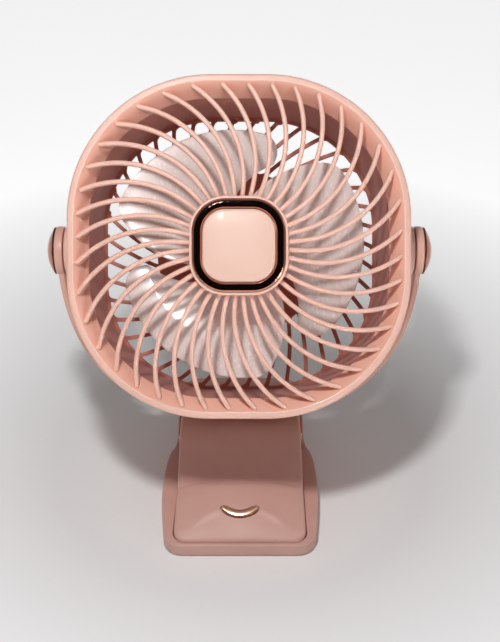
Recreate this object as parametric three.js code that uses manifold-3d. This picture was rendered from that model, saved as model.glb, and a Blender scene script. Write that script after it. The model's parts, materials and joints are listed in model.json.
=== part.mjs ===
// Rechargeable clip fan, in millimetres, +Z up and the fan blowing towards -Y.
// The origin is on the table under the swivel axis. "Ahead" means towards -Y, so a distance ahead is -y.
import * as THREE from 'three';
import { mergeVertices } from 'three/addons/utils/BufferGeometryUtils.js';
import Module from 'manifold-3d';

const wasm = await Module();
wasm.setup();

// ---------- driving sizes ----------
const seatGap = 0.3; // between two pieces that rest on each other
const runGap = 0.5; // between two pieces that turn past each other

// Head: a square drum with round corners
const tiltHeight = 118; // tilt axis above the table
const restTilt = 35; // degrees the head looks up at rest
const rimHalf = 70; // half the width of the front rim
const sideFlat = 11.5; // half the straight run of each side of the rim
const rimAhead = 27; // front of the rim ahead of the tilt axis
const rimBand = 2.7; // flat front band of the rim
const rimWall = 1.8;
const bezelDepth = 13;
const mouthInset = 7.6; // narrow end of the sloped inner wall in from the outside of the rim
const mouthHalf = rimHalf - mouthInset;
const mouthDepth = 11; // of the narrow end behind the rim's front
const shellWall = 2.4;
const shellHalf = mouthHalf + shellWall; // outside of the rear shell behind its flange
const shellTaper = 1.6;
const shellRearHalf = shellHalf - shellTaper;
const shellRear = 23; // back face behind the tilt axis
const flangeDepth = 2.2;

// Front ribs: straight at the hub, then bent on a circle
const ribCount = 40;
const ribWidth = 1.9;
const ribDepth = 3.4;
const ribStraight = 24.5; // radius where a rib starts to bend
const ribBend = 44.9; // radius of that bend
const ribTurn = 4.9; // degrees from the right-hand side to the first rib
const finRun = 1.5; // run in which a rib's back drops to the narrow end of the wall
const ribSunk = 1.2; // front of the ribs behind the rim's front at the rim
const ribDome = 3.1; // rise of the ribs from the rim to the hub

// Hub badge: ring, bright trim and cap
const hubHalf = 20;
const hubFlat = 5.4;
const hubProud = 5; // hub ahead of the rim
const hubDepth = 8.5;
const trimHalf = 18.6;
const trimBand = 3.6;
const trimDepth = 2.2;
const hubFloor = 1.8;

// Rear grille: slots between slanted bars, round a closed middle
const barCount = 40;
const barWidth = 1.8;
const barDepth = 2;
const barSlant = 29; // degrees a bar leans from the radius
const middleRadius = 37;

// Motor, impeller and rear cover
const motorRadius = 14;
const motorLength = 14;
const collarWall = 2;
const collarHeight = 8;
const shaftRadius = 1.3;
const cupRadius = 17.5;
const cupWall = 1.6;
const cupFront = 12; // front of the impeller's cup ahead of the tilt axis
const cupLength = 22;
const bladeCount = 3;
const bladeTip = 54.5;
const bladeThick = 1.4;
const bladeTurn = 13; // degrees from the right-hand side to the first blade's middle
const bladeSpan = 104; // degrees a blade covers at one radius
const bladeSweep = 40; // degrees a blade's tip lies clockwise of its root
const bladeRise = 15; // front edge ahead of the rear edge
const coverRadius = 36;
const coverDepth = 7;
const coverWall = 1.8;
const buttonRadius = 5;
const buttonProud = 1;
const buttonTravel = 1;
const boardThick = 1.2;
const coverScrews = 3;
const coverScrewRing = 28.5;
const coverShank = 0.8;
const lampAbove = 12; // indicator above the button

// Yoke and its pivots
const pivotRadius = 10.2;
const bossReach = 4.2; // end of a head boss beyond the rim
const bossEnd = rimHalf + bossReach;
const eyeThick = 3.6;
const eyeInner = bossEnd + runGap;
const eyeOuter = eyeInner + eyeThick;
const eyeProud = 0.6; // eye beyond the strap that carries it
const capDome = 3.7;
const capEdge = 0.3;
const yokeHalf = eyeOuter - eyeProud; // outside of the yoke from the middle
const yokeThick = 3;
const yokeWidth = 16;
const yokeSquareness = 2.4; // 2 would be an ellipse
const pivotBore = 2.9;
const pivotShank = 2.3;
const washerThick = 0.6;
const screwHead = { radius: 4.6, thick: 1.2 };
const swivelRadius = 4.6;
const stubRadius = 3.2;
const swivelWasherRadius = 7;
const stubThread = 1.8;
const swivelWasherThick = 0.9;

// Clip body
const platform = 27; // height of the flat top that carries the swivel
const yokeLift = 3; // underside of the yoke above the platform
const yokeDrop = tiltHeight - platform - yokeLift; // and below the tilt axis
const bodyWall = 2;
const bodyHalfRear = 28.2;
const bodyHalfToe = 29.5;
const bodyRear = -32; // ends of the clip body, as distances ahead
const bodyToe = 64;
const toeRadius = 6;
const tailRadius = 9;
const edgeRadius = 1.5;
const crownLow = 0.6; // how far the top drops to its sides at the platform and the toe's end
const crownHigh = 4; // and in the hollow between
const bodyBottom = 3.6;
const tailSlope = 24; // degrees the tail's underside climbs behind the hinge
const tailThick = 1.8;
const tailRidges = 4; // finger ridges under the tail
const tailRidge = 1.2; // half the width of a ridge
const earSwing = 4.2; // room behind the jaw's ears for the tail plate as the clip opens
const hingeAhead = -2.5;
const hingeHeight = 14;
const hingeCapRadius = 9;
const hingeCapThick = 1.5;
const pinRadius = 2;
const earRadius = 6.5;
const earThick = 3.2;
const earOuter = 25.7;
const springRadius = 3.5;
const springWire = 0.6;
const springTurns = 4;
const springLength = 12;
const springLowReach = 12; // of the leg on the jaw's floor behind the pin
const springTopReach = 10; // of the leg under the body's top
const smileHalf = 7.3; // half the length of the bright inlay's centre line
const smileWidth = 3.2;
const smileSag = 3.2;
const smileAhead = 53.3;
const batterySize = new THREE.Vector3(34, 28, 5.5);
const batteryAhead = 22;
const portSize = new THREE.Vector3(9, 6.4, 3);
const portDrop = 5.6; // middle of the charge port below the platform
const floorThick = 1.2;
const chargeBoard = { width: 26, length: 16, thick: 1 };

// Jaw that stands on the table
const jawToe = 66;
const jawRear = -34;
const jawWidest = 36.2; // half its width where it is widest
const throughReach = jawWidest + 4; // half the length of a cutter that goes through both sides
const jawToeRadius = 8.5;
const jawRearRadius = 9;
const jawUnder = 0.6;
const jawFloor = 3;
const jawRim = 7;
const jawSplay = 0.8; // chamfer along the rim
const trayGap = 0.45;
const padThick = 0.6;
const upperPadThick = 0.8;
const padLength = 44;
const padWidth = 44;
const padAhead = 35; // middle of the grip pads
const padPitch = 5; // between the ribs of a grip pad
const basePadInset = 5;
const basePadThick = 1.3;

// ---------- helpers ----------
const radians = THREE.MathUtils.degToRad;
const lerp = THREE.MathUtils.lerp;

// Turns the faces outwards
function facingOut(geometry) {
  const at = geometry.attributes.position;
  const index = geometry.index.array;
  const [a, b, c] = [new THREE.Vector3(), new THREE.Vector3(), new THREE.Vector3()];
  let volume = 0;
  for (let i = 0; i < index.length; i += 3) {
    a.fromBufferAttribute(at, index[i]);
    b.fromBufferAttribute(at, index[i + 1]);
    c.fromBufferAttribute(at, index[i + 2]);
    volume += a.dot(b.cross(c));
  }
  if (volume < 0) {
    for (let i = 0; i < index.length; i += 3) [index[i], index[i + 1]] = [index[i + 1], index[i]];
  }
  return geometry;
}

// Skins a row of rings with equal point counts, closed by end caps or back onto its first ring
function skin(rings, looped = false) {
  const count = rings[0].length;
  const points = rings.flat();
  const triangles = [];
  const spans = looped ? rings.length : rings.length - 1;
  for (let i = 0; i < spans; i += 1) {
    const here = i * count;
    const there = ((i + 1) % rings.length) * count;
    for (let j = 0; j < count; j += 1) {
      const k = (j + 1) % count;
      triangles.push(here + j, there + j, there + k, here + j, there + k, here + k);
    }
  }
  if (!looped) {
    const last = (rings.length - 1) * count;
    for (const [start, flip] of [[0, false], [last, true]]) {
      const middle = new THREE.Vector3();
      for (const point of points.slice(start, start + count)) middle.addScaledVector(point, 1 / count);
      const centre = points.push(middle) - 1;
      for (let j = 0; j < count; j += 1) {
        const k = (j + 1) % count;
        triangles.push(...(flip ? [start + k, start + j, centre] : [start + j, start + k, centre]));
      }
    }
  }
  const geometry = new THREE.BufferGeometry();
  geometry.setAttribute('position', new THREE.Float32BufferAttribute(points.flatMap((p) => p.toArray()), 3));
  geometry.setIndex(triangles);
  return facingOut(geometry);
}

// Directions round a square with round corners, each with the corner it belongs to
function squareDirections(flat, steps) {
  const directions = [];
  for (let corner = 0; corner < 4; corner += 1) {
    const middle = radians(45 + 90 * corner);
    const centre = new THREE.Vector2(Math.sign(Math.cos(middle)) * flat, Math.sign(Math.sin(middle)) * flat);
    for (let i = 0; i <= steps; i += 1) {
      const angle = radians(90 * corner + (90 * i) / steps);
      directions.push({ centre, unit: new THREE.Vector2(Math.cos(angle), Math.sin(angle)) });
    }
  }
  return directions;
}

// One ring of the rounded square, at a half width and a height
function squareRing(flat, half, z, steps) {
  return squareDirections(flat, steps).map(({ centre, unit }) => {
    const reach = half - flat;
    return new THREE.Vector3(centre.x + unit.x * reach, centre.y + unit.y * reach, z);
  });
}

// A closed profile of [half width, height] points carried round the rounded square
function squareFrame(flat, profile, steps) {
  const rings = squareDirections(flat, steps).map(({ centre, unit }) => profile.map(([half, z]) => (
    new THREE.Vector3(centre.x + unit.x * (half - flat), centre.y + unit.y * (half - flat), z))));
  return skin(rings, true);
}

// A stack of rounded squares, closed by flat ends
function squareStack(flat, levels, steps) {
  return skin(levels.map(([half, z]) => squareRing(flat, half, z, steps)));
}

// A profile of [radius, height] points turned about Z
function turned(profile, segments) {
  const lathe = new THREE.LatheGeometry(profile.map(([r, z]) => new THREE.Vector2(r, z)), segments);
  return lathe.rotateX(Math.PI / 2);
}

// A round bar along Z from one height to another
function rod(radius, from, to, segments = 24) {
  const bar = new THREE.CylinderGeometry(radius, radius, to - from, segments);
  return bar.rotateX(Math.PI / 2).translate(0, 0, (from + to) / 2);
}

// Lays a piece made along Z down along X, its +Z end towards the given side
function alongX(geometry, side = 1) {
  return geometry.rotateY((side * Math.PI) / 2);
}

// A rounded slab, its corners in the XY plane, standing on a height
function slab(width, length, thick, corner, z) {
  const [x, y] = [width / 2, length / 2];
  const shape = new THREE.Shape();
  shape.moveTo(x, -y + corner);
  shape.lineTo(x, y - corner);
  shape.absarc(x - corner, y - corner, corner, 0, Math.PI / 2);
  shape.absarc(-x + corner, y - corner, corner, Math.PI / 2, Math.PI);
  shape.absarc(-x + corner, -y + corner, corner, Math.PI, Math.PI * 1.5);
  shape.absarc(x - corner, -y + corner, corner, Math.PI * 1.5, Math.PI * 2);
  return new THREE.ExtrudeGeometry(shape, { depth: thick, bevelEnabled: false, curveSegments: 3 })
    .translate(0, 0, z);
}

// Extrudes a side view, drawn as [ahead, height] points, from one x to another
function sideCut(points, fromX, toX) {
  const shape = new THREE.Shape(points.map(([ahead, z]) => new THREE.Vector2(ahead, z)));
  const plate = new THREE.ExtrudeGeometry(shape, { depth: toX - fromX, bevelEnabled: false });
  const basis = new THREE.Matrix4().makeBasis(
    new THREE.Vector3(0, -1, 0), new THREE.Vector3(0, 0, 1), new THREE.Vector3(-1, 0, 0));
  return plate.applyMatrix4(basis).translate(toX, 0, 0);
}

function toSolid(geometry) {
  const bare = geometry.clone();
  bare.deleteAttribute('normal');
  bare.deleteAttribute('uv');
  const merged = mergeVertices(bare, 1e-4);
  return new wasm.Manifold(new wasm.Mesh({
    numProp: 3,
    vertProperties: Float32Array.from(merged.attributes.position.array),
    triVerts: Uint32Array.from(merged.index.array),
  }));
}

function toGeometry(solid) {
  const mesh = solid.getMesh();
  const geometry = new THREE.BufferGeometry();
  geometry.setAttribute('position', new THREE.Float32BufferAttribute(mesh.vertProperties, 3));
  geometry.setIndex(Array.from(mesh.triVerts));
  return geometry;
}

function joined(first, ...others) {
  return toGeometry(others.reduce((sum, other) => sum.add(toSolid(other)), toSolid(first)));
}

function cutBy(body, ...tools) {
  return toGeometry(tools.reduce((rest, tool) => rest.subtract(toSolid(tool)), toSolid(body)));
}

function shared(first, second) {
  return toGeometry(toSolid(first).intersect(toSolid(second)));
}

// ---------- finishes ----------
function finish(color, roughness, metalness = 0) {
  return { color, roughness, metalness };
}

const softPink = finish(0xf0c6b2, 0.42);
const deepPink = finish(0xb97c6d, 0.38);
const bodyPink = finish(0xd6a998, 0.4);
const roseChrome = finish(0xb9795f, 0.12, 1);
const goldChrome = finish(0xe0c29a, 0.1, 1);
const milkyBlade = finish(0xeadfda, 0.25);
const steel = finish(0xb8bcc0, 0.3, 1);
const greyRubber = finish(0x8f6a60, 0.85);
const boardGreen = finish(0x2c6b45, 0.6);
const cellSilver = finish(0x9aa0a6, 0.5, 0.2);
const lampWhite = finish(0xf4f4f0, 0.2);

function piece(name, geometry, surface) {
  const mesh = new THREE.Mesh(geometry, new THREE.MeshStandardMaterial(surface));
  mesh.name = name;
  return mesh;
}

// ---------- head, drawn face on: x right, y up the face, z out of the front ----------
const cornerSteps = 8;
const hubSteps = 5;
const bezelBack = rimAhead - bezelDepth;
const mouthZ = rimAhead - mouthDepth;
const hubFront = rimAhead + hubProud;
const flangeFront = bezelBack - seatGap;
const shellBack = -shellRear;
const middleFront = shellBack + barDepth;

// How far a point lies outside the rounded square of the given half width (negative inside)
function outsideSquare(x, y, half) {
  const dx = Math.max(Math.abs(x) - sideFlat, 0);
  const dy = Math.max(Math.abs(y) - sideFlat, 0);
  return Math.hypot(dx, dy) - (half - sideFlat);
}

// Position and heading of a rib at a distance along it, before it is turned to its place
function ribPath(distance) {
  const bent = Math.max(distance - ribStraight, 0) / ribBend;
  const straight = Math.min(distance, ribStraight);
  return {
    x: straight + ribBend * Math.sin(bent),
    y: ribBend * (1 - Math.cos(bent)),
    heading: bent,
  };
}

// A bar leaning at a constant angle from the radius, as a path of the same kind
function barPath(distance) {
  const lean = radians(-barSlant);
  const radius = middleRadius - 2 + distance * Math.cos(lean);
  const angle = Math.tan(lean) * Math.log(radius / middleRadius);
  return { x: radius * Math.cos(angle), y: radius * Math.sin(angle), heading: angle + lean };
}

// Distance along a path, turned by an angle, at which it meets the rounded square of that half width
function reachOf(path, turn, half) {
  let [near, far] = [0, 2 * half];
  for (let i = 0; i < 24; i += 1) {
    const middle = (near + far) / 2;
    const { x, y } = path(middle);
    const [cos, sin] = [Math.cos(turn), Math.sin(turn)];
    if (outsideSquare(x * cos - y * sin, x * sin + y * cos, half) > 0) far = middle;
    else near = middle;
  }
  return near;
}

// Sweeps a section of [across, height, further along] points, which may change, along a turned path
function sweptBar(path, turn, stations, sectionAt) {
  const rings = stations.map((distance) => sectionAt(distance).map(([across, z, further = 0]) => {
    const { x, y, heading } = path(distance + further);
    const [px, py] = [x - across * Math.sin(heading), y + across * Math.cos(heading)];
    return new THREE.Vector3(px, py, z).applyAxisAngle(new THREE.Vector3(0, 0, 1), turn);
  }));
  return skin(rings);
}

// Front face of the ribs, domed from the rim to the hub
function ribFront(radius) {
  return rimAhead - ribSunk + ribDome * (1 - (Math.min(radius, rimHalf) / rimHalf) ** 2);
}

// A rib from the hub to the sloped wall, its back dropping to a fin that fills the wall's height
function frontRib(turn) {
  const fin = reachOf(ribPath, turn, mouthHalf - finRun);
  const foot = reachOf(ribPath, turn, mouthHalf + 0.6);
  const lean = reachOf(ribPath, turn, rimHalf - rimBand + 0.2) - foot;
  const run = fin - ribStraight;
  const stations = [hubHalf - 1, ribStraight, ribStraight + run / 3, ribStraight + (2 * run) / 3, fin, foot];
  const half = ribWidth / 2;
  return sweptBar(ribPath, turn, stations, (distance) => {
    const atWall = distance === foot;
    const { x, y } = ribPath(distance + (atWall ? lean : 0));
    const front = ribFront(Math.hypot(x, y));
    const back = atWall ? mouthZ - 0.3 : front - ribDepth;
    const further = atWall ? lean : 0;
    return [[-half, back], [-0.7 * half, front, further], [0.7 * half, front, further], [half, back]];
  });
}

function makeFrontGrille() {
  const slopeWall = 1.6;
  const bandInner = rimHalf - rimBand;
  const bezel = squareFrame(sideFlat, [
    [rimHalf, rimAhead - 1], [rimHalf - 0.7, rimAhead],
    [bandInner, rimAhead], [bandInner - 0.5, rimAhead - 0.6],
    [mouthHalf, mouthZ], [mouthHalf, bezelBack + 0.6], [mouthHalf + slopeWall, bezelBack + 0.6],
    [mouthHalf + slopeWall, mouthZ], [rimHalf - rimWall, rimAhead - 3], [rimHalf - rimWall, bezelBack],
    [rimHalf, bezelBack],
  ], cornerSteps);
  const hubBack = hubFront - hubDepth;
  const trayWall = trimHalf + seatGap;
  const trayFloor = hubFront - trimDepth - seatGap;
  const hub = squareStack(hubFlat, [
    [hubHalf - rimWall, trayFloor - hubFloor], [hubHalf - rimWall, hubBack], [hubHalf, hubBack],
    [hubHalf, hubFront - 0.6], [hubHalf - 0.5, hubFront], [trayWall, hubFront], [trayWall, trayFloor],
  ], hubSteps);
  const ribs = [];
  for (let i = 0; i < ribCount; i += 1) ribs.push(frontRib(radians(ribTurn + (360 * i) / ribCount)));
  const cage = cutBy(joined(bezel, ...ribs), squareStack(hubFlat, [
    [hubHalf - rimWall / 2, hubBack - 9], [hubHalf - rimWall / 2, hubFront + 9]], hubSteps));
  return joined(cage, hub);
}

function makeHubTrim() {
  const inner = trimHalf - trimBand;
  const base = hubFront - trimDepth;
  return squareFrame(hubFlat, [
    [trimHalf, base], [trimHalf, hubFront - 0.4], [trimHalf - 0.7, hubFront + 0.2],
    [inner + 0.9, hubFront + 0.2], [inner, hubFront - 0.5], [inner, base],
  ], hubSteps);
}

function makeHubCap() {
  const half = trimHalf - trimBand - seatGap;
  return squareStack(hubFlat, [
    [half, hubFront - trimDepth], [half, hubFront - 0.5], [half - 0.5, hubFront], [half / 2, hubFront + 0.3],
  ], hubSteps);
}

function rearBar(turn) {
  const end = reachOf(barPath, turn, shellRearHalf - 1.5);
  const stations = [0, end / 2, end];
  const half = barWidth / 2;
  const [back, front] = [shellBack + 0.2, middleFront - 0.2];
  return sweptBar(barPath, turn, stations, () => (
    [[-half, back], [-0.8 * half, front], [0.8 * half, front], [half, back]]));
}

function makeRearShell() {
  const innerFront = mouthHalf - 0.2;
  const innerRear = shellRearHalf - shellWall;
  const wall = squareFrame(sideFlat, [
    [rimHalf - 0.6, flangeFront], [rimHalf - 0.6, flangeFront - flangeDepth + 0.7],
    [rimHalf - 1.8, flangeFront - flangeDepth], [shellHalf, flangeFront - flangeDepth - 1.5],
    [shellRearHalf, shellBack + 4], [shellRearHalf - 1, shellBack + 1], [shellRearHalf - 2.4, shellBack],
    [innerRear - 0.6, shellBack], [innerRear - 0.6, middleFront], [innerRear, middleFront + 0.6],
    [innerFront, flangeFront],
  ], cornerSteps);
  const middle = rod(middleRadius, shellBack, middleFront, 40);
  const collar = turned([
    [motorRadius + seatGap, middleFront - 1], [motorRadius + seatGap + collarWall, middleFront - 1],
    [motorRadius + seatGap + collarWall, middleFront + collarHeight],
    [motorRadius + seatGap, middleFront + collarHeight], [motorRadius + seatGap, middleFront - 1],
  ], 24);
  const bars = [];
  for (let i = 0; i < barCount; i += 1) bars.push(rearBar(radians((360 * i) / barCount)));
  const bosses = [1, -1].map((side) => alongX(rod(pivotRadius, shellHalf - 1.6, bossEnd, 24), side));
  const bores = [1, -1].map((side) => (
    alongX(rod(pivotShank + seatGap, shellHalf + 1.2, bossEnd + 1, 12), side)));
  return cutBy(joined(wall, middle, collar, ...bars, ...bosses), ...bores);
}

function makeMotor() {
  const back = middleFront + seatGap;
  const front = back + motorLength;
  const bore = shaftRadius + seatGap;
  return turned([
    [0, back], [motorRadius - 0.8, back], [motorRadius, back + 0.8], [motorRadius, front - 0.8],
    [motorRadius - 0.8, front], [4, front], [4, front + 1.2], [bore, front + 1.2], [bore, back + 3],
    [0, back + 3],
  ], 24);
}

// Angle at which a blade's edges lie at a radius, swept back towards the tip
function bladeMiddle(radius) {
  const out = Math.max(radius - cupRadius, 0) / (bladeTip - cupRadius);
  return radians(bladeTurn + bladeSweep * (0.5 - out ** 0.8));
}

// One blade, skinned between rings that run once round it at each radius
function fanBlade(turn) {
  const steps = 6;
  const radii = [0, 0.25, 0.5, 0.74, 0.92, 1].map((t) => lerp(cupRadius - cupWall / 2, bladeTip, t));
  const rings = radii.map((radius) => {
    const out = THREE.MathUtils.clamp((radius - cupRadius) / (bladeTip - cupRadius), 0, 1);
    const rounding = 1 - 0.3 * THREE.MathUtils.smoothstep(out, 0.74, 1.05);
    const span = radians(bladeSpan) * rounding;
    const rise = bladeRise * (1 - 0.3 * out);
    const front = [];
    const back = [];
    for (let i = 0; i <= steps; i += 1) {
      const along = i / steps - 0.5;
      const angle = turn + bladeMiddle(radius) + span * along + radians(5 * out ** 2);
      const z = cupFront - bladeRise / 2 - 1.5 + rise * along * rounding - 4 * (0.25 - along ** 2);
      const thin = bladeThick * (0.5 - 0.3 * Math.abs(along));
      front.push(new THREE.Vector3(radius * Math.cos(angle), radius * Math.sin(angle), z + thin));
      back.unshift(new THREE.Vector3(radius * Math.cos(angle), radius * Math.sin(angle), z - thin));
    }
    return [...front, ...back];
  });
  return skin(rings);
}

function makeImpeller() {
  const back = cupFront - cupLength;
  const inner = cupRadius - cupWall;
  const cup = turned([[0, back], [cupRadius, back], [cupRadius, cupFront - 2], [cupRadius - 2, cupFront],
    [0, cupFront]], 24);
  const hollow = turned([[0, back - 1], [inner, back - 1], [inner, cupFront - 2.5],
    [inner - 1, cupFront - cupWall], [shaftRadius * 3, cupFront - cupWall], [shaftRadius * 3, cupFront - 8],
    [0, cupFront - 8]], 24);
  const bore = rod(shaftRadius + seatGap, back - 1, cupFront + 1, 12);
  const blades = [];
  for (let i = 0; i < bladeCount; i += 1) blades.push(fanBlade(radians((360 * i) / bladeCount)));
  return cutBy(joined(cup, ...blades), hollow, bore);
}

function makeRearCover() {
  const rim = shellBack - seatGap;
  const back = shellBack - coverDepth;
  const hole = buttonRadius + seatGap;
  const shell = turned([
    [hole, back], [coverRadius - 8, back], [coverRadius - 2.5, back + 1.6], [coverRadius, back + 5],
    [coverRadius, rim], [coverRadius - coverWall, rim], [coverRadius - coverWall, back + 5],
    [coverRadius - 4, back + 2.9], [coverRadius - 8.4, back + coverWall],
    [hole, back + coverWall], [hole, back],
  ], 24);
  const posts = screwPlaces().map(({ x, y }) => rod(2.6, back + 1, rim, 10).translate(x, y, 0));
  const sinks = screwPlaces().map(({ x, y }) => rod(2.1, back - 1, back + 1.8, 12).translate(x, y, 0));
  const holes = screwPlaces().map(({ x, y }) => rod(1.1, back - 1, rim + 1, 8).translate(x, y, 0));
  const lamp = rod(1.5, back - 1, back + 4, 12).translate(0, lampAbove, 0);
  return cutBy(joined(shell, ...posts), ...sinks, ...holes, lamp);
}

function screwPlaces() {
  const places = [];
  for (let i = 0; i < coverScrews; i += 1) {
    const angle = radians(90 + (360 * i) / coverScrews);
    places.push({ x: coverScrewRing * Math.cos(angle), y: coverScrewRing * Math.sin(angle) });
  }
  return places;
}

function makeCoverScrew({ x, y }) {
  const seat = shellBack - coverDepth + coverWall - seatGap;
  const end = shellBack - seatGap;
  const screw = turned([
    [0, seat - 1.2], [1.4, seat - 1.2], [1.8, seat], [coverShank, seat], [coverShank, end], [0, end],
  ], 10);
  return screw.translate(x, y, 0);
}

function makeControlBoard() {
  const back = shellBack - seatGap - boardThick;
  const gaps = screwPlaces().map(({ x, y }) => rod(3.1, back - 2, back + 4, 10).translate(x, y, 0));
  const switchTop = shellBack - coverDepth + coverWall + seatGap + 1 + buttonTravel + seatGap;
  const board = joined(rod(coverRadius - coverWall - 2.2, back, back + boardThick, 28),
    rod(3, switchTop, back + 0.4, 12));
  return cutBy(board, ...gaps);
}

function makeButton() {
  const back = shellBack - coverDepth;
  const flange = back + coverWall + seatGap;
  return turned([
    [0, back - buttonProud], [buttonRadius - 0.8, back - buttonProud],
    [buttonRadius, back - buttonProud + 0.8],
    [buttonRadius, flange], [buttonRadius + 1.2, flange], [buttonRadius + 1.2, flange + 1], [0, flange + 1],
  ], 20);
}

function makeLamp() {
  const back = shellBack - coverDepth;
  return turned([[0, back - 0.2], [0.8, back], [1.2, back + 0.4], [1.2, back + 4.2], [0, back + 4.2]], 10)
    .translate(0, lampAbove, 0);
}

// ---------- pivots and yoke, drawn upright about the tilt axis ----------
const sinkFloor = eyeOuter - screwHead.thick - washerThick - 2 * seatGap - 0.1;

function makePivotScrew(side) {
  const headFrom = sinkFloor + washerThick + 2 * seatGap;
  const headTop = headFrom + screwHead.thick;
  const tip = shellHalf + 2;
  return alongX(turned([
    [0, tip], [pivotShank - 0.5, tip], [pivotShank, tip + 0.5], [pivotShank, headFrom],
    [screwHead.radius, headFrom], [screwHead.radius, headTop - 0.4],
    [screwHead.radius - 0.6, headTop], [0, headTop],
  ], 14), side);
}

function makePivotWasher(side) {
  const from = sinkFloor + seatGap;
  return alongX(turned([
    [pivotBore, from], [screwHead.radius + 0.3, from], [screwHead.radius + 0.3, from + washerThick],
    [pivotBore, from + washerThick], [pivotBore, from],
  ], 14), side);
}

// A shallow dome, its section part of a circle over a short straight edge
function makePivotCap(side) {
  const from = eyeOuter + seatGap;
  const foot = pivotRadius - 0.1;
  const rise = capDome - capEdge;
  const ball = (foot ** 2 + rise ** 2) / (2 * rise);
  const profile = [[0, from], [foot, from]];
  const steps = 6;
  for (let i = 0; i <= steps; i += 1) {
    const angle = Math.asin(foot / ball) * (1 - i / steps);
    profile.push([ball * Math.sin(angle), from + capDome - ball * (1 - Math.cos(angle))]);
  }
  return alongX(turned(profile, 24), side);
}

// Outer line of the yoke, an ellipse drawn out towards a square
function yokeLine(turn) {
  const power = 2 / yokeSquareness;
  const [cos, sin] = [Math.cos(turn), Math.sin(turn)];
  const across = yokeHalf * Math.sign(cos) * Math.abs(cos) ** power;
  return new THREE.Vector2(across, -yokeDrop * Math.abs(sin) ** power);
}

function makeYoke() {
  const steps = 22;
  const half = yokeWidth / 2;
  const rings = [];
  for (let i = 0; i <= steps; i += 1) {
    const turn = (Math.PI * i) / steps;
    const outer = yokeLine(turn);
    const ahead = yokeLine(Math.min(turn + 0.01, Math.PI));
    const along = ahead.sub(yokeLine(Math.max(turn - 0.01, 0))).normalize();
    const inward = new THREE.Vector2(along.y, -along.x);
    if (inward.dot(outer) > 0) inward.negate();
    rings.push([[-half, 0.8], [-half + 0.8, 0], [half - 0.8, 0], [half, 0.8], [half, yokeThick - 0.8],
      [half - 0.8, yokeThick], [-half + 0.8, yokeThick], [-half, yokeThick - 0.8]].map(([y, deep]) => (
      new THREE.Vector3(outer.x + inward.x * deep, y, tiltHeight + outer.y + inward.y * deep))));
  }
  const lift = (geometry) => geometry.translate(0, 0, tiltHeight);
  const eyes = [1, -1].map((side) => lift(alongX(rod(pivotRadius, eyeInner, eyeOuter, 24), side)));
  const bores = [1, -1].map((side) => lift(alongX(rod(pivotBore, eyeInner - 1, eyeOuter + 1, 14), side)));
  const sinks = [1, -1].map((side) => (
    lift(alongX(rod(screwHead.radius + 0.7, sinkFloor, eyeOuter + 1, 16), side))));
  const under = tiltHeight - yokeDrop;
  const boss = rod(swivelRadius, platform + seatGap, under + 1.5, 20);
  const stub = rod(stubRadius, stubEnd, under + 1, 16);
  const thread = rod(stubThread + seatGap, stubEnd - 1, under - 0.6, 10);
  return cutBy(joined(skin(rings), ...eyes, boss, stub), ...bores, ...sinks, thread);
}

const stubEnd = platform - bodyWall - seatGap;

function makeSwivelWasher() {
  const top = stubEnd - seatGap;
  const bore = stubThread + seatGap;
  return turned([
    [bore, top - swivelWasherThick], [swivelWasherRadius, top - swivelWasherThick], [swivelWasherRadius, top],
    [bore, top], [bore, top - swivelWasherThick],
  ], 16);
}

function makeSwivelScrew() {
  const headTop = stubEnd - 2 * seatGap - swivelWasherThick;
  return turned([
    [0, headTop - 2], [3.6, headTop - 2], [4.4, headTop - 1.2], [4.4, headTop], [stubThread, headTop],
    [stubThread, tiltHeight - yokeDrop - 1], [0, tiltHeight - yokeDrop - 1],
  ], 14);
}

// ---------- clip body ----------
// Top line seen from the side, from the tail over the platform, slope and hollow to the toe
// Each point is a share of the body's length and of the platform's height
const topLine = new THREE.SplineCurve([
  [0, 0.904], [0.083, 0.978], [0.208, 1], [0.333, 1], [0.427, 0.989], [0.5625, 0.8], [0.6875, 0.637],
  [0.792, 0.604], [0.875, 0.526], [0.948, 0.404], [1, 0.274],
].map(([along, high]) => new THREE.Vector2(lerp(bodyRear, bodyToe, along), platform * high)));

function topHeight(ahead) {
  let [near, far] = [0, 1];
  for (let i = 0; i < 22; i += 1) {
    const middle = (near + far) / 2;
    if (topLine.getPoint(middle).x < ahead) near = middle;
    else far = middle;
  }
  return topLine.getPoint(near).y;
}

// How much lower the top is at its sides than along its middle
function crown(ahead) {
  const grown = lerp(crownLow, crownHigh, THREE.MathUtils.smoothstep(ahead / bodyToe, 0.06, 0.66));
  return lerp(grown, crownLow, THREE.MathUtils.smoothstep(ahead / bodyToe, 0.75, 1));
}

function bodyHalf(ahead, inset) {
  const plain = lerp(bodyHalfRear, bodyHalfToe, THREE.MathUtils.clamp(ahead / bodyToe, 0, 1)) - inset;
  const frontRadius = toeRadius - inset / 2;
  const rearRadius = tailRadius - inset;
  const intoToe = Math.max(ahead - (bodyToe - inset - frontRadius), 0);
  const intoTail = Math.max(bodyRear + inset + rearRadius - ahead, 0);
  const toeLoss = frontRadius - Math.sqrt(Math.max(frontRadius ** 2 - intoToe ** 2, 0));
  const tailLoss = rearRadius - Math.sqrt(Math.max(rearRadius ** 2 - intoTail ** 2, 0));
  return plain - toeLoss - tailLoss;
}

function bodyUnder(ahead) {
  return bodyBottom + Math.max(hingeAhead - ahead, 0) * Math.tan(radians(tailSlope));
}

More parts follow.
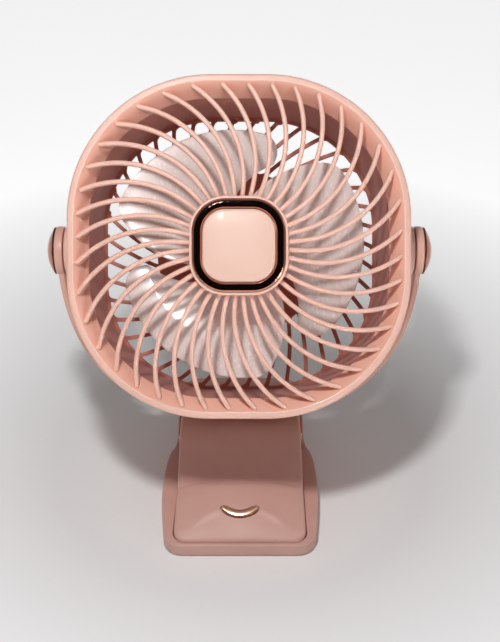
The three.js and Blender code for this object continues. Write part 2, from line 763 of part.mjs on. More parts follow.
// The body's outer form, or the same form shrunk by a wall and open below
function bodyForm(inset) {
  const [from, to] = [bodyRear + inset, bodyToe - inset];
  const stations = [];
  for (const t of [0, 0.12, 0.45, 1]) stations.push(from + t * (tailRadius - inset));
  const [middleFrom, middleTo] = [from + tailRadius - inset, to - toeRadius + inset / 2];
  for (let i = 1; i < 12; i += 1) stations.push(lerp(middleFrom, middleTo, i / 12));
  for (const t of [1, 0.5, 0.16, 0]) stations.push(to - t * (toeRadius - inset / 2));
  const rings = stations.map((ahead) => {
    const half = bodyHalf(ahead, inset);
    const top = topHeight(ahead) - inset;
    const side = top - crown(ahead);
    const under = inset > 0 ? bodyUnder(ahead) - 6 : bodyUnder(ahead);
    const softened = 0.3 * edgeRadius;
    const ring = [[-half, under], [-half, side - edgeRadius], [-half + softened, side - softened]];
    for (let i = -3; i <= 3; i += 1) {
      ring.push([(i / 3) * (half - edgeRadius), lerp(top, side, (i / 3) ** 2)]);
    }
    ring.push([half - softened, side - softened], [half, side - edgeRadius], [half, under]);
    return ring.map(([x, z]) => new THREE.Vector3(x, -ahead, z));
  });
  return skin(rings);
}

// The inlay's sweep across the toe, wider and deeper by a clearance for its recess
function smile(clearance) {
  const rings = [];
  const steps = 6;
  const ends = smileHalf + clearance;
  const point = (t) => {
    const x = ends * t;
    const ahead = smileAhead - smileSag * t * t;
    const drop = crown(ahead) * (x / (bodyHalf(ahead, 0) - edgeRadius)) ** 2;
    return new THREE.Vector3(x, -ahead, topHeight(ahead) - drop);
  };
  for (let i = 0; i <= steps; i += 1) {
    const t = (2 * i) / steps - 1;
    const along = point(t + 0.02).sub(point(t - 0.02)).normalize();
    const slope = point(t).setX(0);
    const uphill = new THREE.Vector3(0, slope.y + 1, topHeight(-slope.y - 1)).sub(
      new THREE.Vector3(0, slope.y, topHeight(-slope.y))).normalize();
    const normal = new THREE.Vector3().crossVectors(along, uphill).normalize();
    const across = new THREE.Vector3().crossVectors(normal, along).normalize();
    const width = (smileWidth / 2 + clearance) * Math.sqrt(Math.max(1 - 0.75 * t ** 6, 0.2));
    const base = -1 - clearance;
    const crest = clearance > 0 ? 2 : 0.5;
    rings.push([[-width, base], [-width, crest - 0.5], [-0.55 * width, crest], [0.55 * width, crest],
      [width, crest - 0.5], [width, base]].map(([side, out]) => (
      point(t).addScaledVector(across, side).addScaledVector(normal, out))));
  }
  return skin(rings);
}

const portHeight = platform - portDrop;

// Cutter that goes through both sides of the clip on its hinge's axis
function hingeBar(radius, sides) {
  return alongX(rod(radius, -throughReach, throughReach, sides)).translate(0, -hingeAhead, hingeHeight);
}

function makeHousing() {
  const hollow = bodyForm(bodyWall);
  const pinHole = hingeBar(pinRadius + seatGap, 14);
  const stubHole = rod(stubRadius + seatGap, platform - 6, platform + 4, 16);
  const port = slab(portSize.x + 0.8, portSize.z + 0.8, 12, 1.7, 0).rotateX(Math.PI / 2)
    .translate(0, -bodyRear + 4, portHeight);
  return cutBy(bodyForm(0), hollow, pinHole, stubHole, port, smile(seatGap));
}

function makeClipFloor() {
  const [from, to] = [hingeAhead + earRadius + 1.6, bodyToe];
  const plate = slab(2 * bodyHalfToe, to - from, floorThick, 1, floorUnder).translate(0, -(from + to) / 2, 0);
  return shared(plate, bodyForm(bodyWall + seatGap));
}

const padFrom = jawFloor + seatGap;
const upperPad = padFrom + padThick + seatGap;
const floorUnder = upperPad + upperPadThick + seatGap;

// A grip pad with cross ribs moulded on one face, the ribs' side given by its sign
function makeGripPad(thick, from, side) {
  const ribRise = 0.25;
  const margin = 8;
  const plate = slab(padWidth, padLength, thick - ribRise, 4, side > 0 ? from : from + ribRise);
  const count = Math.floor((padLength - margin) / padPitch);
  const middle = side > 0 ? from + thick - ribRise : from + ribRise;
  const ribs = [];
  for (let i = 0; i <= count; i += 1) {
    const rib = new THREE.BoxGeometry(padWidth - margin, padPitch * 0.44, 2 * ribRise);
    ribs.push(rib.translate(0, (i - count / 2) * padPitch, middle));
  }
  return joined(plate, ...ribs).translate(0, -padAhead, 0);
}

function makeTailPlate() {
  const [from, to] = [bodyRear + bodyWall + seatGap + 1.6, hingeAhead - earRadius - earSwing];
  const low = (ahead) => bodyUnder(ahead) + 0.6;
  const outline = [[from, low(from)]];
  for (let i = 0; i < tailRidges; i += 1) {
    const middle = lerp(from, to, (i + 0.5) / tailRidges);
    const [start, end] = [middle - tailRidge, middle + tailRidge];
    outline.push([start, low(start)], [middle, low(middle) - 0.7], [end, low(end)]);
  }
  outline.push([to, low(to)], [to, low(to) + tailThick], [from, low(from) + tailThick]);
  const half = bodyHalfRear - bodyWall - seatGap;
  return shared(sideCut(outline, -half, half), bodyForm(bodyWall + seatGap));
}

function makeHingeCap(side) {
  const from = bodyHalf(hingeAhead, 0) + seatGap;
  return alongX(turned([
    [0, from], [hingeCapRadius, from], [hingeCapRadius, from + 0.6],
    [hingeCapRadius - 1, from + hingeCapThick - 0.3], [hingeCapRadius - 3, from + hingeCapThick],
    [0, from + hingeCapThick],
  ], 24), side).translate(0, -hingeAhead, hingeHeight);
}

function makeHingePin() {
  const reach = bodyHalf(hingeAhead, 0);
  return alongX(rod(pinRadius, -reach, reach, 14)).translate(0, -hingeAhead, hingeHeight);
}

// Coil round the hinge pin with one leg on the jaw's floor and one under the body's top
function makeSpring() {
  const coil = [];
  const perTurn = 8;
  const legLow = jawFloor + seatGap + springWire;
  const total = springTurns * perTurn;
  const startAngle = Math.PI * 1.5;
  coil.push(new THREE.Vector3(-springLength / 2, -hingeAhead + springLowReach, legLow));
  coil.push(new THREE.Vector3(-springLength / 2, -hingeAhead + 3, legLow + 1.6));
  for (let i = 0; i <= total; i += 1) {
    const angle = startAngle + (2 * Math.PI * i) / perTurn;
    coil.push(new THREE.Vector3(lerp(-springLength / 2, springLength / 2, i / total),
      -hingeAhead - springRadius * Math.cos(angle), hingeHeight + springRadius * Math.sin(angle)));
  }
  const legTop = topHeight(hingeAhead - springTopReach) - bodyWall - seatGap - springWire;
  coil.push(new THREE.Vector3(springLength / 2 + 0.8, -hingeAhead + springRadius + 2, hingeHeight + 1));
  coil.push(new THREE.Vector3(springLength / 2 + 1, -hingeAhead + springTopReach, legTop));
  const path = new THREE.CatmullRomCurve3(coil, false, 'centripetal');
  const wire = new THREE.Shape();
  wire.absarc(0, 0, springWire, 0, 2 * Math.PI);
  const sides = wire.getPoints(3).slice(0, -1);
  return new THREE.ExtrudeGeometry(new THREE.Shape(sides), {
    steps: total + 8, extrudePath: path, bevelEnabled: false,
  });
}

function makeBattery() {
  const from = floorUnder + floorThick + seatGap;
  return slab(batterySize.x, batterySize.y, batterySize.z, 3, from).translate(0, -batteryAhead, 0);
}

function makeChargeBoard() {
  const top = portHeight - portSize.z / 2 - seatGap;
  return slab(chargeBoard.width, chargeBoard.length, chargeBoard.thick, 1, top - chargeBoard.thick)
    .translate(0, -(bodyRear + bodyWall + 2 + chargeBoard.length / 2), 0);
}

function makeChargePort() {
  const from = -bodyRear - 0.4;
  const can = slab(portSize.x, portSize.z, portSize.y, 1.4, 0).rotateX(Math.PI / 2)
    .translate(0, from, portHeight);
  const mouth = slab(portSize.x - 1, portSize.z - 1, portSize.y, 0.9, 0).rotateX(Math.PI / 2)
    .translate(0, from + 1.6, portHeight);
  const tongue = slab(portSize.x - 2.6, 0.6, portSize.y - 2, 0.2, 0).rotateX(Math.PI / 2)
    .translate(0, from - 1, portHeight);
  return joined(cutBy(can, mouth), tongue);
}

// ---------- jaw ----------
// Side line of the jaw seen from above, each point a share of its length and of its widest half
const jawLine = new THREE.SplineCurve([
  [0, 0.746], [0.14, 0.823], [0.28, 0.856], [0.44, 0.964], [0.62, 1], [0.78, 0.983], [1, 0.917],
].map(([along, half]) => new THREE.Vector2(lerp(jawRear, jawToe, along), jawWidest * half)));

function jawHalf(ahead) {
  let [near, far] = [0, 1];
  for (let i = 0; i < 22; i += 1) {
    const middle = (near + far) / 2;
    if (jawLine.getPoint(middle).x < ahead) near = middle;
    else far = middle;
  }
  return jawLine.getPoint(near).y;
}

// The jaw's outline drawn in by an inset, at a height
function jawRing(inset, z) {
  const half = [];
  const [toe, rear] = [jawToe - inset, jawRear + inset];
  const toeArc = Math.max(jawToeRadius - inset, 1);
  const rearArc = Math.max(jawRearRadius - inset, 1);
  for (let i = 0; i <= 5; i += 1) {
    const angle = radians(-90 + 18 * i);
    const centre = jawHalf(rear + rearArc) - inset - rearArc;
    half.push([centre + rearArc * Math.cos(angle), rear + rearArc + rearArc * Math.sin(angle)]);
  }
  for (let i = 1; i < 8; i += 1) {
    const ahead = lerp(rear + rearArc, toe - toeArc, i / 8);
    half.push([jawHalf(ahead) - inset, ahead]);
  }
  for (let i = 0; i <= 5; i += 1) {
    const angle = radians(18 * i);
    const centre = jawHalf(toe - toeArc) - inset - toeArc;
    half.push([centre + toeArc * Math.cos(angle), toe - toeArc + toeArc * Math.sin(angle)]);
  }
  const mirrored = half.map(([x, ahead]) => [-x, ahead]).reverse();
  return [...half, ...mirrored].map(([x, ahead]) => new THREE.Vector3(x, -ahead, z));
}

// The clip body's outline with a clearance round it, at a height
function trayRing(z) {
  const right = [];
  const [rear, toe] = [bodyRear - trayGap, bodyToe + trayGap];
  for (const t of [0, 0.04, 0.14, 0.4, 1]) right.push(rear + t * (tailRadius + trayGap));
  for (const t of [0.25, 0.5, 0.75]) right.push(lerp(rear + tailRadius, toe - toeRadius, t));
  for (const t of [1, 0.6, 0.3, 0.12, 0.03, 0]) right.push(toe - t * (toeRadius + trayGap / 2));
  const half = right.map((ahead) => [bodyHalf(ahead, -trayGap), ahead]);
  const mirrored = half.map(([x, ahead]) => [-x, ahead]).reverse();
  return [...half, ...mirrored].map(([x, ahead]) => new THREE.Vector3(x, -ahead, z));
}

function makeJaw() {
  const block = skin([
    jawRing(jawSplay, jawUnder), jawRing(0, jawUnder + jawSplay), jawRing(0, jawRim - jawSplay),
    jawRing(jawSplay, jawRim),
  ]);
  const tray = skin([trayRing(jawFloor), trayRing(jawRim + 3)]);
  const tailRoom = -2 * jawRear;
  const tail = slab(3 * jawWidest, tailRoom, jawRim, 1, jawFloor)
    .translate(0, -(hingeAhead - earRadius - 4) + tailRoom / 2, 0);
  const scallop = hingeBar(hingeCapRadius + runGap, 24);
  const padRoom = basePadInset - seatGap;
  const recess = skin([jawRing(padRoom, -1), jawRing(padRoom, basePadThick + seatGap)]);
  const tub = cutBy(block, tray, tail, scallop, recess);
  const ears = [1, -1].map((side) => {
    const inner = side > 0 ? earOuter - earThick : -earOuter;
    const foot = sideCut([[hingeAhead - earRadius, jawFloor - 1], [hingeAhead + earRadius, jawFloor - 1],
      [hingeAhead + earRadius, hingeHeight], [hingeAhead - earRadius, hingeHeight]], inner, inner + earThick);
    const eye = alongX(rod(earRadius, inner, inner + earThick, 20)).translate(0, -hingeAhead, hingeHeight);
    return joined(foot, eye);
  });
  const pinHole = hingeBar(pinRadius + seatGap, 14);
  return cutBy(joined(tub, ...ears), pinHole);
}

function makeBasePad() {
  const edge = 0.4;
  return skin([
    jawRing(basePadInset + edge, 0), jawRing(basePadInset, edge), jawRing(basePadInset, basePadThick),
  ]);
}

// ---------- assembly ----------
const head = new THREE.Group();
head.add(
  piece('front_grille', makeFrontGrille(), softPink),
  piece('hub_trim_ring', makeHubTrim(), roseChrome),
  piece('hub_cap', makeHubCap(), softPink),
  piece('rear_shell', makeRearShell(), deepPink),
  piece('motor_can', makeMotor(), steel),
  piece('impeller', makeImpeller(), milkyBlade),
  piece('motor_shaft', rod(shaftRadius, middleFront + 3 + 2 * seatGap, cupFront + 3.6, 16), steel),
  piece('impeller_nut', cutBy(rod(3.6, cupFront + seatGap, cupFront + 3.2, 6),
    rod(shaftRadius + seatGap, cupFront - 1, cupFront + 5, 16)), steel),
  piece('rear_cover', makeRearCover(), softPink),
  piece('control_board', makeControlBoard(), boardGreen),
  piece('power_button', makeButton(), roseChrome),
  piece('indicator_lens', makeLamp(), lampWhite),
);
screwPlaces().forEach((place, i) => head.add(piece(`cover_screw_${i + 1}`, makeCoverScrew(place), steel)));
for (const [side, name] of [[1, 'right'], [-1, 'left']]) {
  head.add(piece(`pivot_screw_${name}`, makePivotScrew(side), steel));
}
head.rotation.x = radians(90 - restTilt);
head.position.z = tiltHeight;

const fan = new THREE.Group();
fan.add(head, piece('yoke', makeYoke(), bodyPink));
for (const [side, name] of [[1, 'right'], [-1, 'left']]) {
  const washer = piece(`pivot_washer_${name}`, makePivotWasher(side), steel);
  const cap = piece(`pivot_cap_${name}`, makePivotCap(side), roseChrome);
  washer.position.z = tiltHeight;
  cap.position.z = tiltHeight;
  fan.add(washer, cap, piece(`hinge_cap_${name}`, makeHingeCap(side), roseChrome));
}
fan.add(
  piece('swivel_washer', makeSwivelWasher(), steel),
  piece('swivel_screw', makeSwivelScrew(), steel),
  piece('clip_housing', makeHousing(), bodyPink),
  piece('clip_floor', makeClipFloor(), deepPink),
  piece('tail_plate', makeTailPlate(), deepPink),
  piece('upper_grip_pad', makeGripPad(upperPadThick, upperPad, -1), greyRubber),
  piece('crescent_trim', smile(0), goldChrome),
  piece('hinge_pin', makeHingePin(), steel),
  piece('torsion_spring', makeSpring(), steel),
  piece('battery_pack', makeBattery(), cellSilver),
  piece('charge_board', makeChargeBoard(), boardGreen),
  piece('charge_port', makeChargePort(), steel),
  piece('base_jaw', makeJaw(), bodyPink),
  piece('lower_grip_pad', makeGripPad(padThick, padFrom, 1), greyRubber),
  piece('base_pad', makeBasePad(), greyRubber),
);

export default fan;
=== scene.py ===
# %% [markdown]
# # A clip fan, dressed in Blender
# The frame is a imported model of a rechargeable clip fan: its bodies, joints and sizes are fixed. This script
# gives it the surfaces that a camera sees. Each step first says what the piece is on the real fan, how it
# could be made, and why one way was chosen. Sizes are in metres and are written as millimetres times MM.

# %% Load the frame
import json
import math

import bmesh
import bpy
from mathutils import Matrix, Vector

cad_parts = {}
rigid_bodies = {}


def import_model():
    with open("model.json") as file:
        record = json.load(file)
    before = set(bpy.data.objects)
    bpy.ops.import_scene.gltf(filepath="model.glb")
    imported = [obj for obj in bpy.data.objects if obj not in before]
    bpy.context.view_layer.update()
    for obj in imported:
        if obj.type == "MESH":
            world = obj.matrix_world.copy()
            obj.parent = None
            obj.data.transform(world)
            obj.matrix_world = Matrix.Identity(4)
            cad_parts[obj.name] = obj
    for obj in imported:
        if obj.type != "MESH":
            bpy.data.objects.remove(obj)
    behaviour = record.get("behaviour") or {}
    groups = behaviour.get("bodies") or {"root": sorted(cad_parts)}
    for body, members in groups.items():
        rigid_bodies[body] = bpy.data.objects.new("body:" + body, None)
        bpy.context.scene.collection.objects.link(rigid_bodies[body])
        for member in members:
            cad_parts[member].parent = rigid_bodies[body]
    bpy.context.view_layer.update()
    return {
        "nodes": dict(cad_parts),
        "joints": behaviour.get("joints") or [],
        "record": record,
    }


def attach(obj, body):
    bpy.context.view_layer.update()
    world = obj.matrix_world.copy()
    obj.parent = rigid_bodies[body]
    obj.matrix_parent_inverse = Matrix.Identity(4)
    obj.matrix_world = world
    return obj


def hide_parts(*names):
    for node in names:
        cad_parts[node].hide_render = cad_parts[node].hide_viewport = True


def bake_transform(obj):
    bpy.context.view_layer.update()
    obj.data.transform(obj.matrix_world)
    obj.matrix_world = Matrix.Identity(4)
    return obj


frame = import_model()
MM = 0.001
joints = {joint["name"]: joint for joint in frame["joints"]}

# %% [markdown]
# ## Where the head is
# The head is drawn face on, with x to the right, y up the face and z out of the front, because a grille is
# easiest to think about that way, and drawn in its tilted place it would have that angle in every number. One
# matrix then carries every piece of the head to its place. The fan's spin axis and the tilt axis in the frame
# give that matrix, so no angle is guessed here.

# %% The head's place
tilt_axis_at = Vector(joints["head_tilt"]["pos_m"])
facing = Vector(joints["fan_spin"]["axis"])
rest_tilt = math.asin(facing.z)
head_place = Matrix.Translation(tilt_axis_at) @ Matrix.Rotation(math.pi / 2 - rest_tilt, 4, "X")
pivot_place = Matrix.Translation(tilt_axis_at)
print("head looks up by", round(math.degrees(rest_tilt), 1), "degrees")

# %% [markdown]
# ## Shader maths as plain expressions
# A node tree is hard to read as a list of links. A small class that wraps one socket lets the maths be
# written as ordinary sums: `1 - mask` adds a Math node by itself. Everything else goes through one method
# that takes a node's type, its settings and what its sockets get.

# %% Sockets that add up
class Signal:
    """One output socket of a material, which can be used in sums"""

    def __init__(self, tree, socket):
        self.tree = tree
        self.socket = socket

    def _maths(self, operation, first, second):
        return self.tree.node("ShaderNodeMath", {"operation": operation}, {0: first, 1: second})

    def __add__(self, other):
        return self._maths("ADD", self, other)

    def __radd__(self, other):
        return self._maths("ADD", other, self)

    def __sub__(self, other):
        return self._maths("SUBTRACT", self, other)

    def __rsub__(self, other):
        return self._maths("SUBTRACT", other, self)

    def __mul__(self, other):
        return self._maths("MULTIPLY", self, other)

    def __rmul__(self, other):
        return self._maths("MULTIPLY", other, self)

    def __pow__(self, power):
        return self._maths("POWER", self, power)


print("a socket takes +, -, * and **")

# %% A finish under construction
class Finish:
    """A material under construction, whose node method adds any node and returns its first output"""

    def __init__(self, name):
        self.material = bpy.data.materials.new(name)
        self.material.use_nodes = True
        self.nodes = self.material.node_tree.nodes
        self.links = self.material.node_tree.links
        self.shader = self.nodes["Principled BSDF"]

    def connect(self, node, sockets):
        for key, value in sockets.items():
            if isinstance(value, Signal):
                self.links.new(value.socket, node.inputs[key])
            else:
                node.inputs[key].default_value = value

    def node(self, kind, settings=None, sockets=None, output=0):
        made = self.nodes.new(kind)
        for key, value in (settings or {}).items():
            if key == "stops":
                ramp = made.color_ramp
                while len(ramp.elements) < len(value):
                    ramp.elements.new(0.5)
                for element, (place, shade) in zip(ramp.elements, value):
                    element.position = place
                    element.color = shade
            else:
                setattr(made, key, value)
        self.connect(made, sockets or {})
        return Signal(self, made.outputs[output])

    def surface(self, **sockets):
        """Sets the shader's sockets, named with _ for a space"""
        self.connect(self.shader, {key.replace("_", " "): value for key, value in sockets.items()})
        return self.material

    def place(self, scale=1, turn=(0, 0, 0)):
        """Object coordinates, which are metres in the frame, scaled and turned"""
        where = self.node("ShaderNodeTexCoord", output="Object")
        size = scale if isinstance(scale, tuple) else (scale, scale, scale)
        return self.node("ShaderNodeMapping", {}, {"Vector": where, "Scale": size, "Rotation": turn})

    def noise(self, size, detail=3, turn=(0, 0, 0), stretch=(1, 1, 1)):
        """Cloudy noise whose features are about size across, from 0 to 1"""
        scale = tuple(part / size for part in stretch)
        return self.node("ShaderNodeTexNoise", {}, {
            "Vector": self.place(scale, turn), "Scale": 1.0, "Detail": detail, "Roughness": 0.55})

    def blend(self, factor, first, second):
        """A colour that goes from first to second as factor goes from 0 to 1"""
        settings = {"data_type": "RGBA", "clamp_factor": True}
        return self.node("ShaderNodeMix", settings, {0: factor, 6: first, 7: second}, output=2)

    def bump(self, height, depth):
        """A normal bent by a height signal of that real depth in metres"""
        return self.node("ShaderNodeBump", {}, {"Height": height, "Distance": depth, "Strength": 1.0})


print("a finish adds its own nodes")

# %% Colours as a screen shows them
def tone(red, green, blue):
    """A colour given as it looks on a screen, from 0 to 255, as the linear colour a shader wants"""
    linear = [part / 255 / 12.92 if part < 11 else ((part / 255 + 0.055) / 1.055) ** 2.4
              for part in (red, green, blue)]
    return (*linear, 1.0)


print("middle grey is", round(tone(128, 128, 128)[0], 3), "in linear light")

# %% [markdown]
# ## Moulded pink plastic
# The shell is a satin injection moulding. A flat colour would look like clay. Real mouldings show three
# things from near by: a colour that drifts a little where the melt flowed, a gloss that is uneven on the same
# scale, and a very fine grain that the steel mould was blasted with. Noise at three sizes makes them. The fan
# has several pinks: a pale shell, a duller clip, and three that paint light and shade on the same plastic: a
# warmer, lighter pink on the wall inside the rim as painted light, a paler and glossier pink on its edge as a
# painted highlight, and a deep pink in the drum as painted shade. They are set lighter than they should look,
# because light that bounces between pink walls deepens the shadows by itself.

# %% Satin and glossy plastics
def moulded_plastic(name, light, deep, roughness, coat=0.0, shine=0.42):
    finish = Finish(name)
    flow = finish.noise(34 * MM, 2)
    cloud = finish.noise(7 * MM, 3)
    grit = finish.noise(0.35 * MM, 2)
    drift = 0.65 * flow + 0.35 * cloud
    colour = finish.blend((drift - 0.3) * 2.4, light, deep)
    gloss = roughness + (cloud - 0.5) * 0.10 + (grit - 0.5) * 0.08
    grain = finish.bump(grit + 0.6 * cloud, 0.012 * MM)
    return finish.surface(
        Base_Color=colour, Roughness=gloss, Normal=grain, Coat_Weight=coat, Coat_Roughness=0.12,
        Specular_IOR_Level=shine)


shell_pink = moulded_plastic("satin_pink", tone(233, 188, 172), tone(227, 179, 162), 0.46, coat=0.03)
# the wall's lighter, warmer pink is painted light on the shell's plastic
wall_pink_painted_light = moulded_plastic("wall_pink_painted_light", tone(252, 198, 178), tone(247, 190, 169), 0.46, coat=0.03)
# the edge's paler colour is a painted highlight; its lower roughness and its coat are a real gloss
edge_pink_painted_highlight = moulded_plastic("edge_pink_painted_highlight", tone(252, 222, 208), tone(248, 212, 198), 0.30, coat=0.3)
cap_pink = moulded_plastic("cap_pink", tone(226, 189, 173), tone(221, 182, 166), 0.42, coat=0.05)
# the drum's deeper pink is painted shade on the shell's plastic
drum_pink_painted_shade = moulded_plastic("drum_pink_painted_shade", tone(196, 128, 112), tone(186, 117, 102), 0.55)
clip_pink = moulded_plastic("clip_pink", tone(220, 175, 162), tone(213, 166, 153), 0.45, shine=0.33)
yoke_pink = moulded_plastic("yoke_pink", tone(226, 178, 162), tone(216, 167, 151), 0.36, coat=0.15)
pinks = (shell_pink, wall_pink_painted_light, edge_pink_painted_highlight, cap_pink, drum_pink_painted_shade, clip_pink, yoke_pink)
print("plastics:", ", ".join(pink.name for pink in pinks))

# %% [markdown]
# ## Plated trims
# The plated pieces are mirrors, so their look is mostly what they reflect. The badge's ring looks black with
# copper edges: its flat is a nearly black metal, a painted reflection of dark surroundings, and its sides and
# edges are a cut rose gold. The domes over the pivots are a deeper copper. The crescent on the toe is pale
# gold on its upper faces and rose gold on those towards the front, a painted reflection that follows which way
# each face looks. Faint polishing lines and a few soft smudges keep the mirrors from being perfect.

# %% The plated metals
def plated(name, light, deep, roughness, lines=0.003 * MM, smudge=0.10):
    finish = Finish(name)
    cloud = finish.noise(3 * MM, 3)
    scratch = finish.noise(1.2 * MM, 4, stretch=(14, 1, 1))
    colour = finish.blend(cloud, light, deep)
    gloss = roughness + cloud ** 3 * smudge + (scratch - 0.5) * 0.04
    return finish.surface(
        Base_Color=colour, Roughness=gloss, Metallic=1.0, Normal=finish.bump(scratch, lines))


rose_gold = plated("rose_gold", tone(214, 150, 124), tone(186, 116, 92), 0.12)
copper = plated("copper", tone(184, 116, 90), tone(138, 82, 60), 0.16)
# the nearly black colour is a painted reflection of dark surroundings on the badge ring's flat
dark_chrome_painted_reflection = plated("dark_chrome_painted_reflection", tone(46, 34, 32), tone(24, 17, 17), 0.07, smudge=0.05)
pale_gold = plated("pale_gold", tone(250, 238, 212), tone(232, 206, 176), 0.24)
cut_gold = plated("cut_gold", tone(222, 160, 134), tone(196, 124, 100), 0.10, lines=0.04 * MM)
zinc = plated("zinc", tone(196, 198, 202), tone(168, 170, 176), 0.26, lines=0.008 * MM)
metals = (rose_gold, copper, dark_chrome_painted_reflection, pale_gold, cut_gold, zinc)
print("metals:", ", ".join(metal.name for metal in metals))

# %% [markdown]
# ## Milky blades
# The impeller is clear plastic with a good deal of white in it: a little light comes through, the face is
# glossy, and long faint streaks show how it flowed in the mould. Glass with a white core would be nearer to
# the truth but grainy at few samples. So a tenth of transmission gives the depth, and a clear coat gives the
# sharp lights.

# %% Blade plastic
def blade_plastic():
    finish = Finish("milky_blade")
    streak = finish.noise(1.6 * MM, 4, turn=(0.9, 0.3, 0.7), stretch=(1, 1, 0.07))
    cloud = finish.noise(18 * MM, 2)
    colour = finish.blend(0.35 * streak + 0.65 * cloud, tone(244, 234, 230), tone(229, 214, 209))
    gloss = 0.26 + (streak - 0.5) * 0.18
    return finish.surface(
        Base_Color=colour, Roughness=gloss, Normal=finish.bump(streak, 0.01 * MM), Coat_Weight=0.35,
        Coat_Roughness=0.10, Transmission_Weight=0.10)


milky = blade_plastic()
print("blades:", milky.name)

# %% [markdown]
# ## Rubber, boards and cells
# The hidden pieces are finished too, because the fan opens: ribbed rubber pads in the mouth of the clip,
# green boards, a cell in a foil pouch, and the indicator's frosted lens. A picture of a board or a pouch
# could be laid on, but a short recipe of colour, roughness and bump for each holds up from near by.

# %% The other finishes
def rubber(name, shade):
    finish = Finish(name)
    grain = finish.noise(0.5 * MM, 3)
    dust = finish.noise(9 * MM, 3)
    pale = tuple(min(part * 1.35 + 0.012, 1) for part in shade[:3]) + (1.0,)
    return finish.surface(
        Base_Color=finish.blend(dust ** 2, shade, pale), Roughness=0.72 + 0.2 * grain,
        Normal=finish.bump(grain, 0.05 * MM))


def circuit(name):
    finish = Finish(name)
    cells = finish.node("ShaderNodeTexVoronoi", {"feature": "DISTANCE_TO_EDGE"}, {
        "Vector": finish.place(1 / (2.4 * MM)), "Scale": 1.0})
    track = finish.node("ShaderNodeMath", {"operation": "LESS_THAN"}, {0: cells, 1: 0.07})
    colour = finish.blend(track, tone(22, 92, 52), tone(70, 140, 84))
    return finish.surface(
        Base_Color=colour, Roughness=0.42 - 0.12 * track, Normal=finish.bump(track, 0.04 * MM))


def foil(name):
    finish = Finish(name)
    crease = finish.noise(5 * MM, 4)
    colour = finish.blend(crease, tone(178, 182, 188), tone(150, 154, 160))
    return finish.surface(
        Base_Color=colour, Roughness=0.3 + 0.2 * crease, Metallic=0.7, Normal=finish.bump(crease, 0.2 * MM))


def frosted(name):
    finish = Finish(name)
    grain = finish.noise(0.4 * MM, 2)
    return finish.surface(
        Base_Color=finish.blend(grain, tone(250, 248, 244), tone(232, 232, 228)),
        Roughness=0.3 + 0.2 * grain, Transmission_Weight=0.5)


pad_rubber = rubber("pad_rubber", tone(122, 88, 80))
board_green = circuit("board_green")
cell_foil = foil("cell_foil")
lens_white = frosted("lens_white")
print("finishes:", len(bpy.data.materials))

# %% [markdown]
# ## Two ways to make most of the pieces
# Nearly every piece of this fan is one of two kinds. A ring, a cap or a wall is a drawn profile carried
# round: by one full spin where it is round, and by four quarter spins joined by four straight extrusions
# where it follows the rounded square of the head. A rib, a blade or a housing has a section that changes
# along the way: that is a grid, bent to its form by giving each of its corners a place.

# %% Profiles
def filleted(corners, steps=4):
    """Rounds an outline's corners, each given as (x, y, radius)"""
    points = []
    count = len(corners)
    for i, (x, y, radius) in enumerate(corners):
        here = Vector((x, y))
        if not radius:
            points.append((x, y))
            continue
        before = (Vector(corners[i - 1][:2]) - here).normalized()
        after = (Vector(corners[(i + 1) % count][:2]) - here).normalized()
        half_angle = before.angle(after) / 2
        setback = radius / math.tan(half_angle)
        centre = here + (before + after).normalized() * (radius / math.sin(half_angle))
        start = here + before * setback - centre
        sweep = (here + after * setback - centre).angle_signed(start)
        for k in range(steps + 1):
            turned = start.copy()
            turned.rotate(Matrix.Rotation(sweep * k / steps, 2))
            points.append(tuple(centre + turned))
    return points


def outline_in(shape, points, closed):
    """Puts an outline into a shape as vertices and edges"""
    verts = [shape.verts.new(point) for point in points]
    ends = verts[1:] + verts[:1] if closed else verts[1:]
    edges = [shape.edges.new(pair) for pair in zip(verts, ends)]
    return verts + edges


def only(kind, geometry):
    return [part for part in geometry if isinstance(part, kind)]


one_corner = filleted([(0, 0, 0), (1, 0, 0.2), (1, 1, 0)])
print("a corner rounded in four steps has", len(one_corner) - 2, "points")

# %% Round pieces and rounded squares
def round_piece(profile, steps=96, closed=False):
    """Spins a profile of (radius, height) points once round Z"""
    shape = bmesh.new()
    drawn = outline_in(shape, [(radius, 0, z) for radius, z in profile], closed)
    bmesh.ops.spin(shape, geom=drawn, cent=(0, 0, 0), axis=(0, 0, 1), dvec=(0, 0, 0),
                   angle=2 * math.pi, steps=steps, use_merge=True)
    bmesh.ops.remove_doubles(shape, verts=shape.verts, dist=0.001 * MM)
    return shape


def square_piece(profile, flat, steps=28, closed=True, flat_steps=1):
    """Carries a profile of (half width, height) points round a square with round corners"""
    shape = bmesh.new()
    strip = outline_in(shape, [(half, flat, z) for half, z in profile], closed)
    for corner in range(4):
        quarter = Matrix.Rotation(corner * math.pi / 2, 3, "Z")
        strip = bmesh.ops.spin(
            shape, geom=strip, cent=quarter @ Vector((flat, flat, 0)), axis=(0, 0, 1), dvec=(0, 0, 0),
            angle=math.pi / 2, steps=steps, use_merge=False)["geom_last"]
        for _ in range(flat_steps):
            grown = bmesh.ops.extrude_edge_only(shape, edges=only(bmesh.types.BMEdge, strip))["geom"]
            strip = only(bmesh.types.BMVert, grown) + only(bmesh.types.BMEdge, grown)
            bmesh.ops.translate(shape, verts=only(bmesh.types.BMVert, strip),
                                vec=quarter @ Vector((-2 * flat / flat_steps, 0, 0)))
    bmesh.ops.remove_doubles(shape, verts=shape.verts, dist=0.001 * MM)
    return shape


print("profiles can be carried round")

# %% Bent grids
def close_holes(shape):
    bmesh.ops.holes_fill(shape, edges=[edge for edge in shape.edges if edge.is_boundary], sides=0)


def bent_grid(shape, along, around, place, capped=True):
    """Adds a grid to a shape, its corners moved to place(u, v), with u along the piece and v round it"""
    made = bmesh.ops.create_grid(shape, x_segments=along, y_segments=around, size=1)["verts"]
    for vert in made:
        vert.co = place((vert.co.x + 1) / 2, (vert.co.y + 1) / 2)
    bmesh.ops.remove_doubles(shape, verts=made, dist=0.0005 * MM)
    if capped:
        close_holes(shape)


print("grids can be bent")
